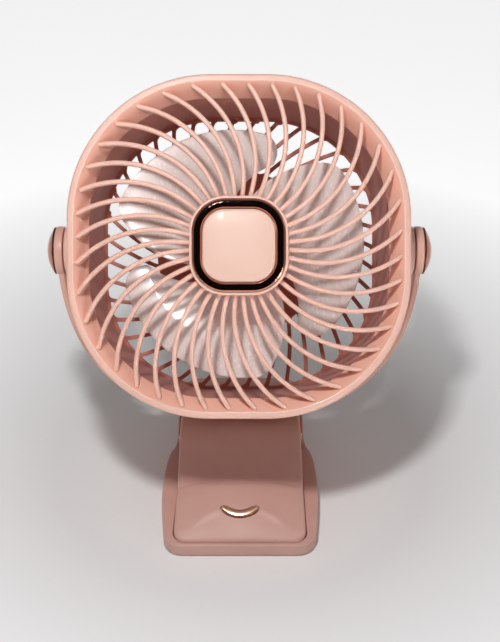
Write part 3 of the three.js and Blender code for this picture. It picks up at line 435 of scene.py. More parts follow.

# %% [markdown]
# ## From shape to piece
# A finished piece has its place in its mesh, rides on a body if it has one, stands for solids of the frame
# that it hides, and carries its finish. Smooth shading with sharp edges past a set angle keeps flats flat. The
# small rounding that every moulded edge has, and that catches the light, is drawn into the profiles. Only the
# yoke, which is joined from several shapes, gets it from a Bevel modifier.

# %% Finishing a piece
def piece(name, shape, material, body, stands_for=(), place=Matrix.Identity(4), rounding=0.0,
          sharp=38):
    bmesh.ops.recalc_face_normals(shape, faces=shape.faces)
    bmesh.ops.transform(shape, matrix=place, verts=shape.verts)
    for face in shape.faces:
        face.smooth = True
    for edge in shape.edges:
        if len(edge.link_faces) == 2:
            edge.smooth = edge.calc_face_angle() < math.radians(sharp)
    mesh = bpy.data.meshes.new(name)
    shape.to_mesh(mesh)
    shape.free()
    made = bpy.data.objects.new(name, mesh)
    bpy.context.scene.collection.objects.link(made)
    mesh.materials.append(material)
    if rounding:
        bevel = made.modifiers.new("rounding", "BEVEL")
        bevel.width = rounding
        bevel.segments = 3
        bevel.limit_method = "ANGLE"
        bevel.angle_limit = math.radians(sharp)
        bevel.harden_normals = True
    if body:
        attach(made, body)
    if stands_for:
        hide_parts(*stands_for)
    print(name, len(mesh.polygons), "faces")
    return made


print("shapes can be finished as pieces")

# %% [markdown]
# ## The rim
# The front of the head is one moulding: a flat band round the edge, then a wall that slopes in to the mouth
# of the drum. Its outline is a square with such large corner radii that it is nearly a circle. It could be a
# cube with its corners bevelled, but a carried profile keeps the band's width exact all the way round. The
# wall gets a warmer, lighter pink than the band, which is painted light on the same plastic, and the fine edge
# between them a paler and glossier one: the paler colour is a painted highlight, the gloss is real. The way
# that a face looks tells which of the three it gets.

# %% The rim and its sloped wall
rim_half = 70 * MM
side_flat = 11.5 * MM
rim_front = 27 * MM
rim_band = 2.7 * MM
rim_wall = 1.8 * MM
rim_back = rim_front - 13 * MM
mouth_half = 62.4 * MM
mouth_z = rim_front - 11 * MM
band_inner = rim_half - rim_band

rim_profile = filleted([
    (rim_half, rim_front, 1.1 * MM), (band_inner, rim_front, 0.45 * MM), (mouth_half, mouth_z, 0.8 * MM),
    (mouth_half, rim_back + 0.6 * MM, 0), (mouth_half + 1.6 * MM, rim_back + 0.6 * MM, 0),
    (mouth_half + 1.6 * MM, mouth_z, 0), (rim_half - rim_wall, rim_front - 3 * MM, 0),
    (rim_half - rim_wall, rim_back, 0), (rim_half, rim_back, 0.4 * MM)])
rim_shape = square_piece(rim_profile, side_flat)
bmesh.ops.recalc_face_normals(rim_shape, faces=rim_shape.faces)
# inward faces of the sloped wall get the lighter pink as painted light, those of its edge the paler pink as a
# painted highlight
wall_from, edge_from, band_from = 0.2, 0.6, 0.98
for face in rim_shape.faces:
    middle = face.calc_center_median()
    inward = middle.x * face.normal.x + middle.y * face.normal.y < 0
    if inward and wall_from < face.normal.z < band_from:
        face.material_index = 1 if face.normal.z < edge_from else 2
rim = piece("grille_rim", rim_shape, shell_pink, "head", ["front_grille"], head_place)
rim.data.materials.append(wall_pink_painted_light)
rim.data.materials.append(edge_pink_painted_highlight)

# %% [markdown]
# ## The spiral ribs
# Forty ribs leave the badge straight out, then bend on one radius, rise in a shallow dome towards the badge
# and die into the sloped wall, where each becomes a fin as deep as the wall. A curve with a bevel would give
# a constant section, so each rib is a bent grid: the section's back drops to the wall where the fin begins,
# and the section closes in at the rounded tip, where the grid's rows lie closest. The rim looks the same
# after a quarter turn, so ten ribs are made and spun into forty.

# %% One rib's path
rib_count = 40
rib_width = 1.95 * MM
rib_depth = 3.4 * MM
rib_round = 1.1 * MM
rib_straight = 24.5 * MM
rib_bend = 44.9 * MM
rib_turn = math.radians(4.9)
rib_dome = 3.1 * MM
rib_rim_drop = 1.2 * MM
hub_half = 20 * MM


def rib_path(distance):
    """Place and heading of a rib's middle at a distance along it"""
    bent = max(distance - rib_straight, 0) / rib_bend
    straight = min(distance, rib_straight)
    return Vector((straight + rib_bend * math.sin(bent), rib_bend * (1 - math.cos(bent)))), bent


def beyond_square(point, half, flat=side_flat):
    """How far a point lies outside a rounded square of that half width, which is the head's or the badge's"""
    across = max(abs(point.x) - flat, 0)
    up = max(abs(point.y) - flat, 0)
    return math.hypot(across, up) - (half - flat)


def reach_of(path, turn, half):
    """Distance along a turned path at which it crosses that rounded square"""
    near, far = 0.0, 2 * half
    for _ in range(26):
        middle = (near + far) / 2
        point = path(middle)[0]
        point.rotate(Matrix.Rotation(turn, 2))
        if beyond_square(point, half) > 0:
            far = middle
        else:
            near = middle
    return near


def rib_front(radius):
    return rim_front - rib_rim_drop + rib_dome * (1 - min(radius / rim_half, 1) ** 2)


def smoothed(value, low, high):
    share = min(max((value - low) / (high - low), 0), 1)
    return share * share * (3 - 2 * share)


rib_run = reach_of(rib_path, rib_turn, mouth_half)
print("a rib leaves the badge and runs", round(rib_run / MM, 1), "mm to the mouth")

# %% One rib's form
rib_tip_round = 0.9 * MM
rib_tip_gap = 0.35 * MM
seam = -0.001  # up is a hair off 0 at both ends of v, and both have to fall in the front half to meet


def rounded(angle, power):
    """A circle drawn out towards a square: cosine and sine with softened shoulders"""
    cos, sin = math.cos(angle), math.sin(angle)
    return (math.copysign(abs(cos) ** power, cos), math.copysign(abs(sin) ** power, sin))


def add_rib(shape, turn):
    """A rib whose section has a round front half, straight flanks and a round back half"""
    start = hub_half - 1 * MM
    mouth = reach_of(rib_path, turn, mouth_half)
    wall_slope = (band_inner - mouth_half) / (rim_front - mouth_z)
    tip = reach_of(rib_path, turn, band_inner - wall_slope * rib_rim_drop - rib_tip_gap)
    spin = Matrix.Rotation(turn, 2)

    def place(u, v):
        distance = tip - (tip - start) * (1 - u) ** 1.8
        middle, heading = rib_path(distance)
        front = rib_front(middle.length)
        fin = smoothed(distance, mouth - rib_tip_round, mouth)
        back = front - rib_depth - (front - mouth_z - rib_depth) * fin
        to_tip = min((tip - distance) / rib_tip_round, 1)
        narrow = math.sqrt(max(1 - (1 - to_tip) ** 2, 0.0004))
        across, up = rounded(2 * math.pi * v, 0.8)
        side = across * rib_width / 2 * narrow
        point = middle + Vector((-math.sin(heading), math.cos(heading))) * side
        point.rotate(spin)
        height = front - rib_round * (1 - up) if up > seam else back + rib_round * (1 + up)
        return Vector((point.x, point.y, height - (1 - narrow) * 0.3 * MM))

    bent_grid(shape, 44, 14, place)


print("a rib's tip keeps", rib_tip_gap / MM, "mm off the band")

# %% Forty ribs
def four_times(shape):
    """Repeats a quarter of a pattern round the other three quarters"""
    bmesh.ops.spin(shape, geom=shape.verts[:] + shape.edges[:] + shape.faces[:], cent=(0, 0, 0),
                   axis=(0, 0, 1), dvec=(0, 0, 0), angle=1.5 * math.pi, steps=3, use_duplicate=True)


ribs = bmesh.new()
for i in range(rib_count // 4):
    add_rib(ribs, rib_turn + 2 * math.pi * i / rib_count)
four_times(ribs)
piece("grille_ribs", ribs, shell_pink, "head", ["front_grille"], head_place, sharp=75)

# %% [markdown]
# ## The badge
# The ribs run into the side of a square cup. A plated ring lies in it, its flat painted nearly black as a
# reflection of dark surroundings, with bright cut edges, and a pink cap fills the ring. The cap's face is a
# soft pillow, so its upper part catches the light. The outer edge of the ring carries fine cuts, which read as
# a row of bright dashes. Each could be a small boolean, but it is enough to lower the edge's vertices in 58
# even steps round the badge and to leave the facets between sharp.

# %% The badge's cup
hub_flat = 5.4 * MM
hub_front = rim_front + 5 * MM
hub_back = hub_front - 8.5 * MM
trim_half = 18.6 * MM
trim_band = 3.6 * MM
trim_depth = 2.2 * MM
tray_floor = hub_front - trim_depth - 0.3 * MM
tray_wall = trim_half + 0.3 * MM


def square_plate(profile, flat, steps=20):
    """Carries an open profile round the square and closes the flat that its two ends leave"""
    shape = square_piece(profile, flat, steps, closed=False)
    close_holes(shape)
    return shape


cup_inner = hub_half - rim_wall
tray_under = tray_floor - 1.8 * MM
cup_side = filleted([
    (cup_inner - 1 * MM, tray_under, 0), (cup_inner, tray_under, 0.5 * MM), (cup_inner, hub_back, 0),
    (hub_half, hub_back, 0.3 * MM), (hub_half, hub_front, 0.5 * MM), (tray_wall, hub_front, 0.2 * MM),
    (tray_wall, tray_floor, 0), (tray_wall - 1 * MM, tray_floor, 0)])
piece("badge_cup", square_plate(cup_side, hub_flat), shell_pink, "head", ["front_grille"],
      head_place)

# %% The badge's ring
trim_inner = trim_half - trim_band
ring_back = hub_front - trim_depth
ring_top = hub_front + 0.1 * MM
ring_crest = ring_top + 0.1 * MM
outer_edge = trim_half - 0.55 * MM
inner_edge = trim_inner + 0.45 * MM
edge_cuts = 58
cut_depth = 0.16 * MM
flat_from = 0.93

ring_shape = square_piece([
    (trim_half, ring_back), (trim_half, hub_front - 0.3 * MM), (outer_edge, ring_top),
    (outer_edge - 0.6 * MM, ring_crest), (inner_edge + 0.5 * MM, ring_crest), (inner_edge, ring_top),
    (trim_inner, hub_front - 0.45 * MM), (trim_inner, ring_back)], hub_flat, steps=26, flat_steps=8)
bmesh.ops.recalc_face_normals(ring_shape, faces=ring_shape.faces)
for vert in ring_shape.verts:
    on_edge = abs(beyond_square(vert.co, outer_edge, hub_flat)) < 0.01 * MM
    if on_edge and math.sin(math.atan2(vert.co.y, vert.co.x) * edge_cuts) > 0:
        vert.co.z -= cut_depth
# the ring's flat gets the nearly black metal, a painted reflection; its chamfers get the cut rose gold
for face in ring_shape.faces:
    face.material_index = 0 if face.normal.z > flat_from else 1
badge_ring = piece("badge_ring", ring_shape, dark_chrome_painted_reflection, "head", ["hub_trim_ring"],
                   head_place, sharp=20)
badge_ring.data.materials.append(cut_gold)

# %% The badge's cap
cap_half = trim_inner - 0.3 * MM
cap_inner = hub_flat + 0.3 * MM
cap_border = 1.6 * MM
pillow_rise = 0.68 * MM
cap_side = filleted([
    (cap_half - 1 * MM, ring_back, 0), (cap_half, ring_back, 0), (cap_half, hub_front - 0.3 * MM, 0.5 * MM),
    (cap_half - 1.2 * MM, hub_front + 0.05 * MM, 0.8 * MM), (cap_inner, hub_front + 0.75 * MM, 0)])[:-1]
for i in range(1, 9):
    share = i / 8
    half = cap_half - cap_border + (cap_inner - cap_half + cap_border) * share
    cap_side.append((half, hub_front + 0.12 * MM + pillow_rise * (1 - (1 - share) ** 2)))
piece("badge_cap", square_plate(cap_side, hub_flat), cap_pink, "head", ["hub_cap"],
      head_place)

# %% [markdown]
# ## The drum
# Behind the rim lies a deep drum: a flange, a tapering wall, and a back with forty slanted slots round a
# closed disc. It is the shell's plastic, coloured a deeper pink as painted shade for the dim inside. The slots
# could be cut out of a disc with a boolean, but bars laid over an open ring are cleaner. Each bar flares where
# it meets the wall, so that the slots get the round outer corners that such fans have. The bars lean the other
# way from the ribs, and the two spirals cross.

# %% The drum's wall
shell_half = 64.8 * MM
shell_rear_half = 63.2 * MM
shell_back = -23 * MM
flange_front = rim_back - 0.3 * MM
flange_back = flange_front - 2.2 * MM
bar_depth = 2 * MM
middle_front = shell_back + bar_depth
inner_rear = shell_rear_half - 2.4 * MM

drum_wall = filleted([
    (rim_half - 0.6 * MM, flange_front, 0.3 * MM), (rim_half - 0.6 * MM, flange_back, 0.9 * MM),
    (shell_half, flange_back - 1.2 * MM, 1.2 * MM), (shell_rear_half, shell_back + 3.4 * MM, 3.0 * MM),
    (shell_rear_half - 3.0 * MM, shell_back, 1.6 * MM), (inner_rear - 1.2 * MM, shell_back, 0.3 * MM),
    (inner_rear - 1.2 * MM, middle_front, 0.5 * MM), (inner_rear, middle_front + 0.9 * MM, 0.8 * MM),
    (mouth_half + 0.2 * MM, flange_front, 0)])
piece("drum_wall", square_piece(drum_wall, side_flat), drum_pink_painted_shade, "head", ["rear_shell"],
      head_place)

# %% The slanted bars
bar_count = 40
bar_half = 0.9 * MM
bar_slant = math.radians(-29)
middle_radius = 37 * MM


def bar_path(distance):
    """A path that leaves the middle disc and leans at a constant angle from the radius"""
    radius = middle_radius - 2 * MM + distance * math.cos(bar_slant)
    angle = math.tan(bar_slant) * math.log(radius / middle_radius)
    return Vector((radius * math.cos(angle), radius * math.sin(angle))), angle + bar_slant


def add_bar(shape, turn):
    end = reach_of(bar_path, turn, shell_rear_half - 1.6 * MM)
    outer = reach_of(bar_path, turn, inner_rear - 1.2 * MM)
    start = 2 * MM / math.cos(bar_slant)
    spin = Matrix.Rotation(turn, 2)

    def flare(gap, radius):
        gone = min(max(gap / radius, 0), 1)
        return radius * (1 - math.sqrt(1 - (1 - gone) ** 2))

    def place(u, v):
        distance = end * (3 * u * u - 2 * u * u * u)
        middle, heading = bar_path(distance)
        half = bar_half + flare(outer - distance, 1.1 * MM) + flare(distance - start, 0.8 * MM)
        across, up = rounded(2 * math.pi * v, 0.35)
        point = middle + Vector((-math.sin(heading), math.cos(heading))) * across * half
        point.rotate(spin)
        return Vector((point.x, point.y, shell_back + bar_depth / 2 + up * (bar_depth / 2 - 0.05 * MM)))

    bent_grid(shape, 30, 20, place)


bars = bmesh.new()
for i in range(bar_count // 4):
    add_bar(bars, 2 * math.pi * i / bar_count)
four_times(bars)
piece("rear_bars", bars, drum_pink_painted_shade, "head", ["rear_shell"], head_place, sharp=50)

# %% The middle disc and the motor's collar
pole = 0.01 * MM
collar_inner = 14.3 * MM
collar_outer = collar_inner + 2 * MM
collar_end = middle_front + 8 * MM
middle = round_piece(filleted([
    (pole, shell_back, 0), (middle_radius, shell_back, 0.4 * MM), (middle_radius, middle_front, 0.4 * MM),
    (collar_outer, middle_front, 0.8 * MM), (collar_outer, collar_end, 0.4 * MM),
    (collar_inner, collar_end, 0.3 * MM), (collar_inner, middle_front, 0),
    (pole, middle_front, 0)]), closed=True)
piece("drum_middle", middle, drum_pink_painted_shade, "head", ["rear_shell"], head_place)

# %% The pivot bosses
sides = ((1, "right"), (-1, "left"))
pivot_radius = 10.4 * MM
boss_bore = 2.6 * MM
boss_foot = shell_half - 1.6 * MM
boss_end = rim_half + 4.2 * MM


def sideways(side):
    """Turns a piece drawn along Z to point out of one side"""
    return Matrix.Rotation(side * math.pi / 2, 4, "Y")


boss_profile = filleted([
    (boss_bore, boss_foot, 0), (pivot_radius + 0.8 * MM, boss_foot, 0),
    (pivot_radius, shell_half + 1.5 * MM, 1.2 * MM), (pivot_radius, boss_end, 0.8 * MM),
    (boss_bore, boss_end, 0)])
for side, word in sides:
    piece("pivot_boss_" + word, round_piece(boss_profile, 64, closed=True), shell_pink, "head",
          ["rear_shell"], head_place @ sideways(side))

# %% [markdown]
# ## The impeller
# Three wide blades sit on a cup that hides the motor. A sheet with a Solidify modifier would have blunt
# edges, so a blade is skinned like a wing: at each radius its section runs once round, over the front face
# and back along the rear. Its two edges run out at their own rates, the raised one nearly straight and the
# low one swept far round. The corner on the swept side is large, and the section thins to nothing at every
# free edge.

# %% One blade's form
cup_radius = 17.5 * MM
cup_front = 12 * MM
cup_back = cup_front - 22 * MM
blade_root = 16.6 * MM
blade_tip = 54.5 * MM
blade_half = 0.6 * MM


def blade_edge(radius, side):
    """Angle in degrees of a blade's raised edge (side 1) or its low edge (side -1) at a radius

    Each edge has an angle near the cup, and loses so many degrees with each millimetre further out.
    """
    if side > 0:
        return 78 - 1.07 * (radius / MM - 21)
    return -26 - 1.55 * (min(radius / MM, 40.5) - 24)


def corner_loss(gap, radius):
    """What a round corner of that radius takes off at a distance from the edge"""
    gone = min(max(1 - gap / radius, 0), 1)
    return radius * (1 - math.sqrt(max(1 - gone * gone, 0)))


def add_blade(shape, turn):
    def place(u, v):
        across = (4 * v - 1) if v < 0.5 else (3 - 4 * v)
        front = 1 if v < 0.5 else -1
        out = 1 - (1 - u) ** 1.6
        radius = blade_root + (blade_tip - blade_root) * out
        gap = blade_tip - radius
        high = blade_edge(radius, 1) - math.degrees(corner_loss(gap, 4 * MM) / radius)
        low = blade_edge(radius, -1) + math.degrees(corner_loss(gap, 11 * MM) / radius)
        angle = (high + low) / 2 + (high - low) / 2 * across
        trimmed = radius * (1 - 0.05 * out ** 3 * (0.5 - 0.5 * across))
        share = (radius - cup_radius) / (blade_tip - cup_radius)
        rise = 15 * MM * (1 - 0.3 * min(max(share, 0), 1))
        along = across / 2
        z = cup_front - 9 * MM + rise * along - 4 * MM * (0.25 - along * along)
        thick = blade_half * math.sqrt(max(1 - abs(across) ** 5, 0)) * math.sqrt(max(1 - out ** 24, 0))
        turned = turn + math.radians(angle)
        return Vector((trimmed * math.cos(turned), trimmed * math.sin(turned), z + front * thick))

    bent_grid(shape, 56, 120, place)


print("a blade spans", round(blade_edge(cup_radius, 1) - blade_edge(cup_radius, -1)), "degrees at the cup")

# %% The impeller
blade_count = 3
cup_wall = 1.6 * MM
shaft_hole = 1.6 * MM
impeller = round_piece(filleted([
    (shaft_hole, cup_front, 0), (cup_radius, cup_front, 2.4 * MM), (cup_radius, cup_back, 0.3 * MM),
    (cup_radius - cup_wall, cup_back, 0.3 * MM), (cup_radius - cup_wall, cup_front - cup_wall, 1.2 * MM),
    (shaft_hole, cup_front - cup_wall, 0)]), 96, closed=True)
for i in range(blade_count):
    add_blade(impeller, 2 * math.pi * i / blade_count)
piece("blades", impeller, milky, "impeller", ["impeller"], head_place, sharp=50)

# %% [markdown]
# ## Cutting and joining
# A recess, a pin hole or an eye is quickest as a boolean: the same cut that the mould's core makes. Faces
# could be deleted and bridged by hand, but that holds only for one size. The two shapes become objects for a
# moment, a Boolean modifier works on the first, and its result comes back as a shape.

# %% Booleans between shapes
def combined(body, tool, operation="DIFFERENCE"):
    """The body cut by the tool, or joined to it; both shapes are used up"""
    objects = []
    for shape in (body, tool):
        bmesh.ops.recalc_face_normals(shape, faces=shape.faces)
        mesh = bpy.data.meshes.new("boolean")
        shape.to_mesh(mesh)
        shape.free()
        objects.append(bpy.data.objects.new("boolean", mesh))
        bpy.context.scene.collection.objects.link(objects[-1])
    cut = objects[0].modifiers.new("cut", "BOOLEAN")
    cut.operation = operation
    cut.solver = "EXACT"
    cut.object = objects[1]
    result = bmesh.new()
    result.from_object(objects[0], bpy.context.evaluated_depsgraph_get())
    for spent in objects:
        mesh = spent.data
        bpy.data.objects.remove(spent)
        bpy.data.meshes.remove(mesh)
    return result


print("shapes can be cut and joined")

# %% Rods and blocks
def placed(shape, matrix):
    """The same shape, moved or turned"""
    bmesh.ops.transform(shape, matrix=matrix, verts=shape.verts)
    return shape


def rod(radius, low, high, steps):
    """A round bar along Z"""
    return round_piece([(0, low), (radius, low), (radius, high), (0, high)], steps, closed=True)


def side_rod(radius, reach, ahead, height, steps=64):
    """A round bar along X at a place given as distance ahead and height"""
    return placed(rod(radius, -reach, reach, steps), Matrix.Translation((0, -ahead, height)) @ sideways(1))


def block(low, high):
    """A plain box between two corners"""
    shape = bmesh.new()
    bmesh.ops.create_cube(shape, size=1)
    low, high = Vector(low), Vector(high)
    for vert in shape.verts:
        vert.co = Vector((low[i] + (vert.co[i] + 0.5) * (high[i] - low[i]) for i in range(3)))
    return shape


print("rods and blocks can be used to cut")

# %% [markdown]
# ## Yoke and pivots
# A flat strap bent to a squarish U carries the head by two round eyes. A bevelled curve would twist its
# section where the strap turns, so the strap is a bent grid: at each step along a superellipse its rounded
# section is laid square to the path. The caps over the pivots are shallow domes of polished copper.

# %% The yoke's line
platform = 27 * MM
eye_inner = boss_end + 0.5 * MM
eye_outer = eye_inner + 3.6 * MM
yoke_half = eye_outer - 0.6 * MM
yoke_drop = tilt_axis_at.z - platform - 3 * MM
yoke_thick = 3 * MM
yoke_width = 16 * MM
swivel_radius = 4.6 * MM
stub_radius = 3.2 * MM
stub_end = platform - 2.3 * MM


def yoke_line(turn):
    """Outer line of the yoke: an ellipse drawn out towards a square"""
    across, down = rounded(turn, 2 / 2.4)
    return Vector((yoke_half * across, -yoke_drop * down))


def yoke_place(u, v):
    turn = math.pi * (0.004 + 0.992 * u)
    outer = yoke_line(turn)
    along = (yoke_line(turn + 0.004) - yoke_line(turn - 0.004)).normalized()
    inward = Vector((along.y, -along.x))
    if inward.dot(outer) > 0:
        inward.negate()
    across, deep = rounded(2 * math.pi * v, 0.28)
    spot = outer + inward * yoke_thick * (0.5 - 0.5 * deep)
    return Vector((spot.x, across * yoke_width / 2, spot.y))


print("the yoke hangs", round(yoke_drop / MM, 1), "mm below the tilt axis")

# %% The yoke
eye_bore = 2.9 * MM
stub_bore = 1.9 * MM
swivel_seat = platform + 0.3 * MM
boss_shoulder = 30.8 * MM
boss_top = 31 * MM

yoke = bmesh.new()
bent_grid(yoke, 160, 36, yoke_place)
eye_profile = filleted([(eye_bore, eye_inner, 0), (pivot_radius, eye_inner, 0.5 * MM),
                        (pivot_radius, eye_outer, 1.0 * MM), (eye_bore, eye_outer, 0)])
for side, _ in sides:
    eye = placed(round_piece(eye_profile, 72, closed=True), sideways(side))
    yoke = combined(yoke, eye, "UNION")
boss = round_piece(filleted([
    (stub_bore, stub_end, 0), (stub_radius, stub_end, 0.3 * MM), (stub_radius, swivel_seat, 0),
    (swivel_radius, swivel_seat, 0.4 * MM), (swivel_radius, boss_shoulder, 0), (stub_bore, boss_top, 0)]),
    64, closed=True)
yoke = combined(yoke, placed(boss, Matrix.Translation((0, 0, -tilt_axis_at.z))), "UNION")
piece("yoke_strap", yoke, yoke_pink, "yoke", ["yoke"], pivot_place, rounding=0.25 * MM)

# %% The pivot caps
cap_from = eye_outer + 0.3 * MM
cap_edge = 0.3 * MM
dome_rise = 3.7 * MM - cap_edge
dome_foot = pivot_radius - 0.3 * MM
dome_radius = (dome_foot ** 2 + dome_rise ** 2) / (2 * dome_rise)
dome = [(0.001 * MM, cap_from), (dome_foot, cap_from)]
for i in range(17):
    lean = math.asin(dome_foot / dome_radius) * (1 - i / 16)
    dome.append((max(dome_radius * math.sin(lean), 0.001 * MM),
                 cap_from + cap_edge + dome_rise - dome_radius * (1 - math.cos(lean))))
for side, word in sides:
    piece("pivot_dome_" + word, round_piece(dome, 96, closed=True), copper, "yoke", ["pivot_cap_" + word],
          pivot_place @ sideways(side), sharp=50)

# %% [markdown]
# ## The clip's upper half
# The clip body is an upside-down tub: a flat platform under the yoke, a slope, a shallow hollow and a rounded
# toe, crowned from side to side. It is drawn by two curves, the line of its top seen from the side and the
# crown across it. A grid carries those over the body's outline, and a rounding follows the outline's own
# distance, so the edge stays even round the corners. A Solidify modifier could give the wall, but a second,
# smaller form cuts the hollow with a true floor and edge, as the mould's core does. Two soft lines lie on the
# toe, half a millimetre high: a bead along its rear edge, and a fold on each side of the inlay. The body's
# cuts are the hollow, the inlay's seat, the pin's holes and the stub's hole. The opening for the charge port,
# which the frame's own solid has in the tail, isn't cut here.

# %% The clip's lines
body_rear = -32 * MM
body_toe = 64 * MM
toe_radius = 6 * MM
tail_radius = 9 * MM
body_bottom = 3.6 * MM
hinge_ahead = -2.5 * MM
hinge_height = 14 * MM
half_rear = 28.2 * MM
half_toe = 29.5 * MM


def through(points, at):
    """Height at a place along a smooth line through points, by Catmull-Rom weights"""
    last = len(points) - 2
    i = max(k for k in range(last + 1) if points[k][0] <= at or k == 0)
    (x0, y0), (x1, y1) = points[i], points[i + 1]
    before, after = points[max(i - 1, 0)], points[min(i + 2, last + 1)]
    span = x1 - x0
    rise0 = (y1 - before[1]) / (x1 - before[0]) * span
    rise1 = (after[1] - y0) / (after[0] - x0) * span
    t = (at - x0) / span
    return (y0 * (2 * t ** 3 - 3 * t * t + 1) + rise0 * (t ** 3 - 2 * t * t + t)
            + y1 * (3 * t * t - 2 * t ** 3) + rise1 * (t ** 3 - t * t))


top_points = [(-32, 24.4), (-24, 26.4), (-12, 27), (0, 27), (9, 26.7), (22, 21.6), (28, 19.2), (33, 17.3),
              (35.5, 16.7), (44, 16.2), (51, 14.6), (58, 11.1), (64, 7.2)]


def top_height(ahead):
    return through(top_points, ahead / MM) * MM


print("top of the toe:", round(top_height(50 * MM) / MM, 1), "mm")

# %% The clip's outline and crown
def crown(ahead):
    """How far the top falls to its sides: little at the platform, most before the toe, little at its tip"""
    grown = 0.6 + 3.4 * smoothed(ahead / MM, 4, 42)
    return (grown + (0.6 - grown) * smoothed(ahead / MM, 48, 64)) * MM


def plain_half(ahead):
    """Half the body's width at a distance ahead, as if its corners were square"""
    return half_rear + (half_toe - half_rear) * min(max(ahead / body_toe, 0), 1)


def body_half(ahead, inset=0.0):
    """The same half width, with the corners rounded off"""
    plain = plain_half(ahead) - inset
    front_radius = toe_radius - inset / 2
    rear_radius = tail_radius - inset
    into_toe = min(max(ahead - (body_toe - inset - front_radius), 0), front_radius)
    into_tail = min(max(body_rear + inset + rear_radius - ahead, 0), rear_radius)
    return (plain - front_radius + math.sqrt(front_radius ** 2 - into_toe ** 2)
            - rear_radius + math.sqrt(rear_radius ** 2 - into_tail ** 2))


def edge_gap(x, ahead):
    """Distance in from the body's outline"""
    side, toe, tail = plain_half(ahead) - abs(x), body_toe - ahead, ahead - body_rear
    if side < toe_radius and toe < toe_radius:
        return toe_radius - math.hypot(toe_radius - side, toe_radius - toe)
    if side < tail_radius and tail < tail_radius:
        return tail_radius - math.hypot(tail_radius - side, tail_radius - tail)
    return min(side, toe, tail)


print("the body is", round(2 * body_half(40 * MM) / MM, 1), "mm wide at the toe")

# %% The clip's top, with the toe's two moulded lines
bead_ahead = 34.6 * MM
bead_lift = 0.45 * MM
fold_ahead = 50.2 * MM
fold_lift = 0.5 * MM


def relief(x, ahead):
    """Height added by a soft bead along the toe's rear edge and by a fold on each side of the inlay"""
    bead = ahead - bead_ahead - 2.4 * MM * (x / (29 * MM)) ** 2
    fold = ahead - fold_ahead - 5.4 * MM * (x / (18 * MM)) ** 2
    lift = bead_lift * smoothed(bead, -1.2 * MM, 1.0 * MM) * (1 - smoothed(bead, 2 * MM, 14 * MM))
    beside = smoothed(abs(x), 6 * MM, 11 * MM) * (1 - smoothed(abs(x), 15 * MM, 23 * MM))
    lift += fold_lift * beside * math.exp(-(fold / ((3.2 if fold < 0 else 1.4) * MM)) ** 2)
    return lift


def body_top(x, ahead, rounding):
    height = top_height(ahead) - crown(ahead) * min(abs(x) / (plain_half(ahead) - 1.5 * MM), 1.02) ** 2
    return height + relief(x, ahead) - corner_loss(max(edge_gap(x, ahead), 0), rounding)


jaw_swing = math.radians(24)


def body_under(ahead):
    """The body's lower edge, which rises behind the hinge to leave room for the swing"""
    return body_bottom + max(hinge_ahead - ahead, 0) * math.tan(jaw_swing)


print("height beside the inlay:", round(body_top(12 * MM, 50 * MM, 1.5 * MM) / MM, 1), "mm")

# %% The clip body's form
edge_round = 1.5 * MM
body_wall = 2 * MM
hardly = 0.0001 * MM  # a rounding too small to see, because a core has sharp edges


def tub(inset, rounding):
    """The body's form, drawn in all round by an inset; with an inset it runs on downwards, as a cutter"""
    shape = bmesh.new()
    start, end = body_rear + inset, body_toe - inset

    def place(u, v):
        ahead = start + (end - start) * u
        crowded = 0.35 * (2 * v - 1) + 0.65 * math.sin(math.pi * (v - 0.5))
        x = body_half(ahead, inset) * crowded
        return Vector((x, -ahead, body_top(x, ahead, rounding) - inset))

    bent_grid(shape, 200, 90, place, capped=False)
    edges = [edge for edge in shape.edges if edge.is_boundary]
    skirt = bmesh.ops.extrude_edge_only(shape, edges=edges)["geom"]
    for vert in only(bmesh.types.BMVert, skirt):
        vert.co.z = body_under(-vert.co.y) - (8 * MM if inset else 0)
    close_holes(shape)
    return shape


housing = combined(tub(0, edge_round), tub(body_wall, hardly))
print("hollow body:", len(housing.faces), "faces")

# %% [markdown]
# ## The inlay
# A plated crescent lies in the toe and stands half a millimetre proud of it. It could be a flat shape laid on
# the toe by a Shrinkwrap modifier, but a bar swept along the curve gets round ends and lies square to the toe
# at every step. The same sweep, a little larger and squarer, first cuts the seat.

# %% The inlay's form, and its seat
smile_half = 7.7 * MM
smile_width = 3.2 * MM
smile_sag = 3.2 * MM
smile_ahead = 53.3 * MM
smile_end = 1.04


def smile(clearance, crest, base, squareness):
    """The inlay's sweep across the toe, as a rounded bar that follows the surface"""
    shape = bmesh.new()

    def spot(t):
        x = (smile_half + clearance) * t
        ahead = smile_ahead - smile_sag * t * t
        return Vector((x, -ahead, body_top(x, ahead, edge_round)))

    def middle_height(ahead):
        return body_top(0, ahead, 0.1 * MM)

    def place(u, v):
        t = math.sin(math.pi * (u - 0.5)) * smile_end
        middle = spot(t)
        tangent = (spot(t + 0.02) - spot(t - 0.02)).normalized()
        uphill = Vector((0, 1 * MM, middle_height(-middle.y - 1 * MM) - middle_height(-middle.y)))
        normal = tangent.cross(uphill.normalized()).normalized()
        crosswise = normal.cross(tangent).normalized()
        end = math.sqrt(max(1 - (abs(t) / smile_end) ** 9, 0))
        width = (smile_width / 2 + clearance) * (end * 0.98 + 0.02)
        across, up = rounded(2 * math.pi * v, squareness)
        lift = base + (crest - base) * (0.5 + 0.5 * up)
        return middle + crosswise * across * width + normal * lift

    bent_grid(shape, 48, 20, place)
    return shape


print("the inlay is", round(2 * smile_half / MM, 1), "mm long")

# %% The clip body and its inlay
through_all = 40 * MM
pin_hole = 2.3 * MM
front_facing = -0.62

housing = combined(housing, smile(0.4 * MM, 3 * MM, -1.3 * MM, squareness=0.1))
housing = combined(housing, side_rod(pin_hole, through_all, hinge_ahead, hinge_height))
housing = combined(housing, rod(stub_radius + 0.3 * MM, 20 * MM, 30 * MM, 48))
piece("clip_shell", housing, clip_pink, "clip_body", ["clip_housing"], sharp=30)

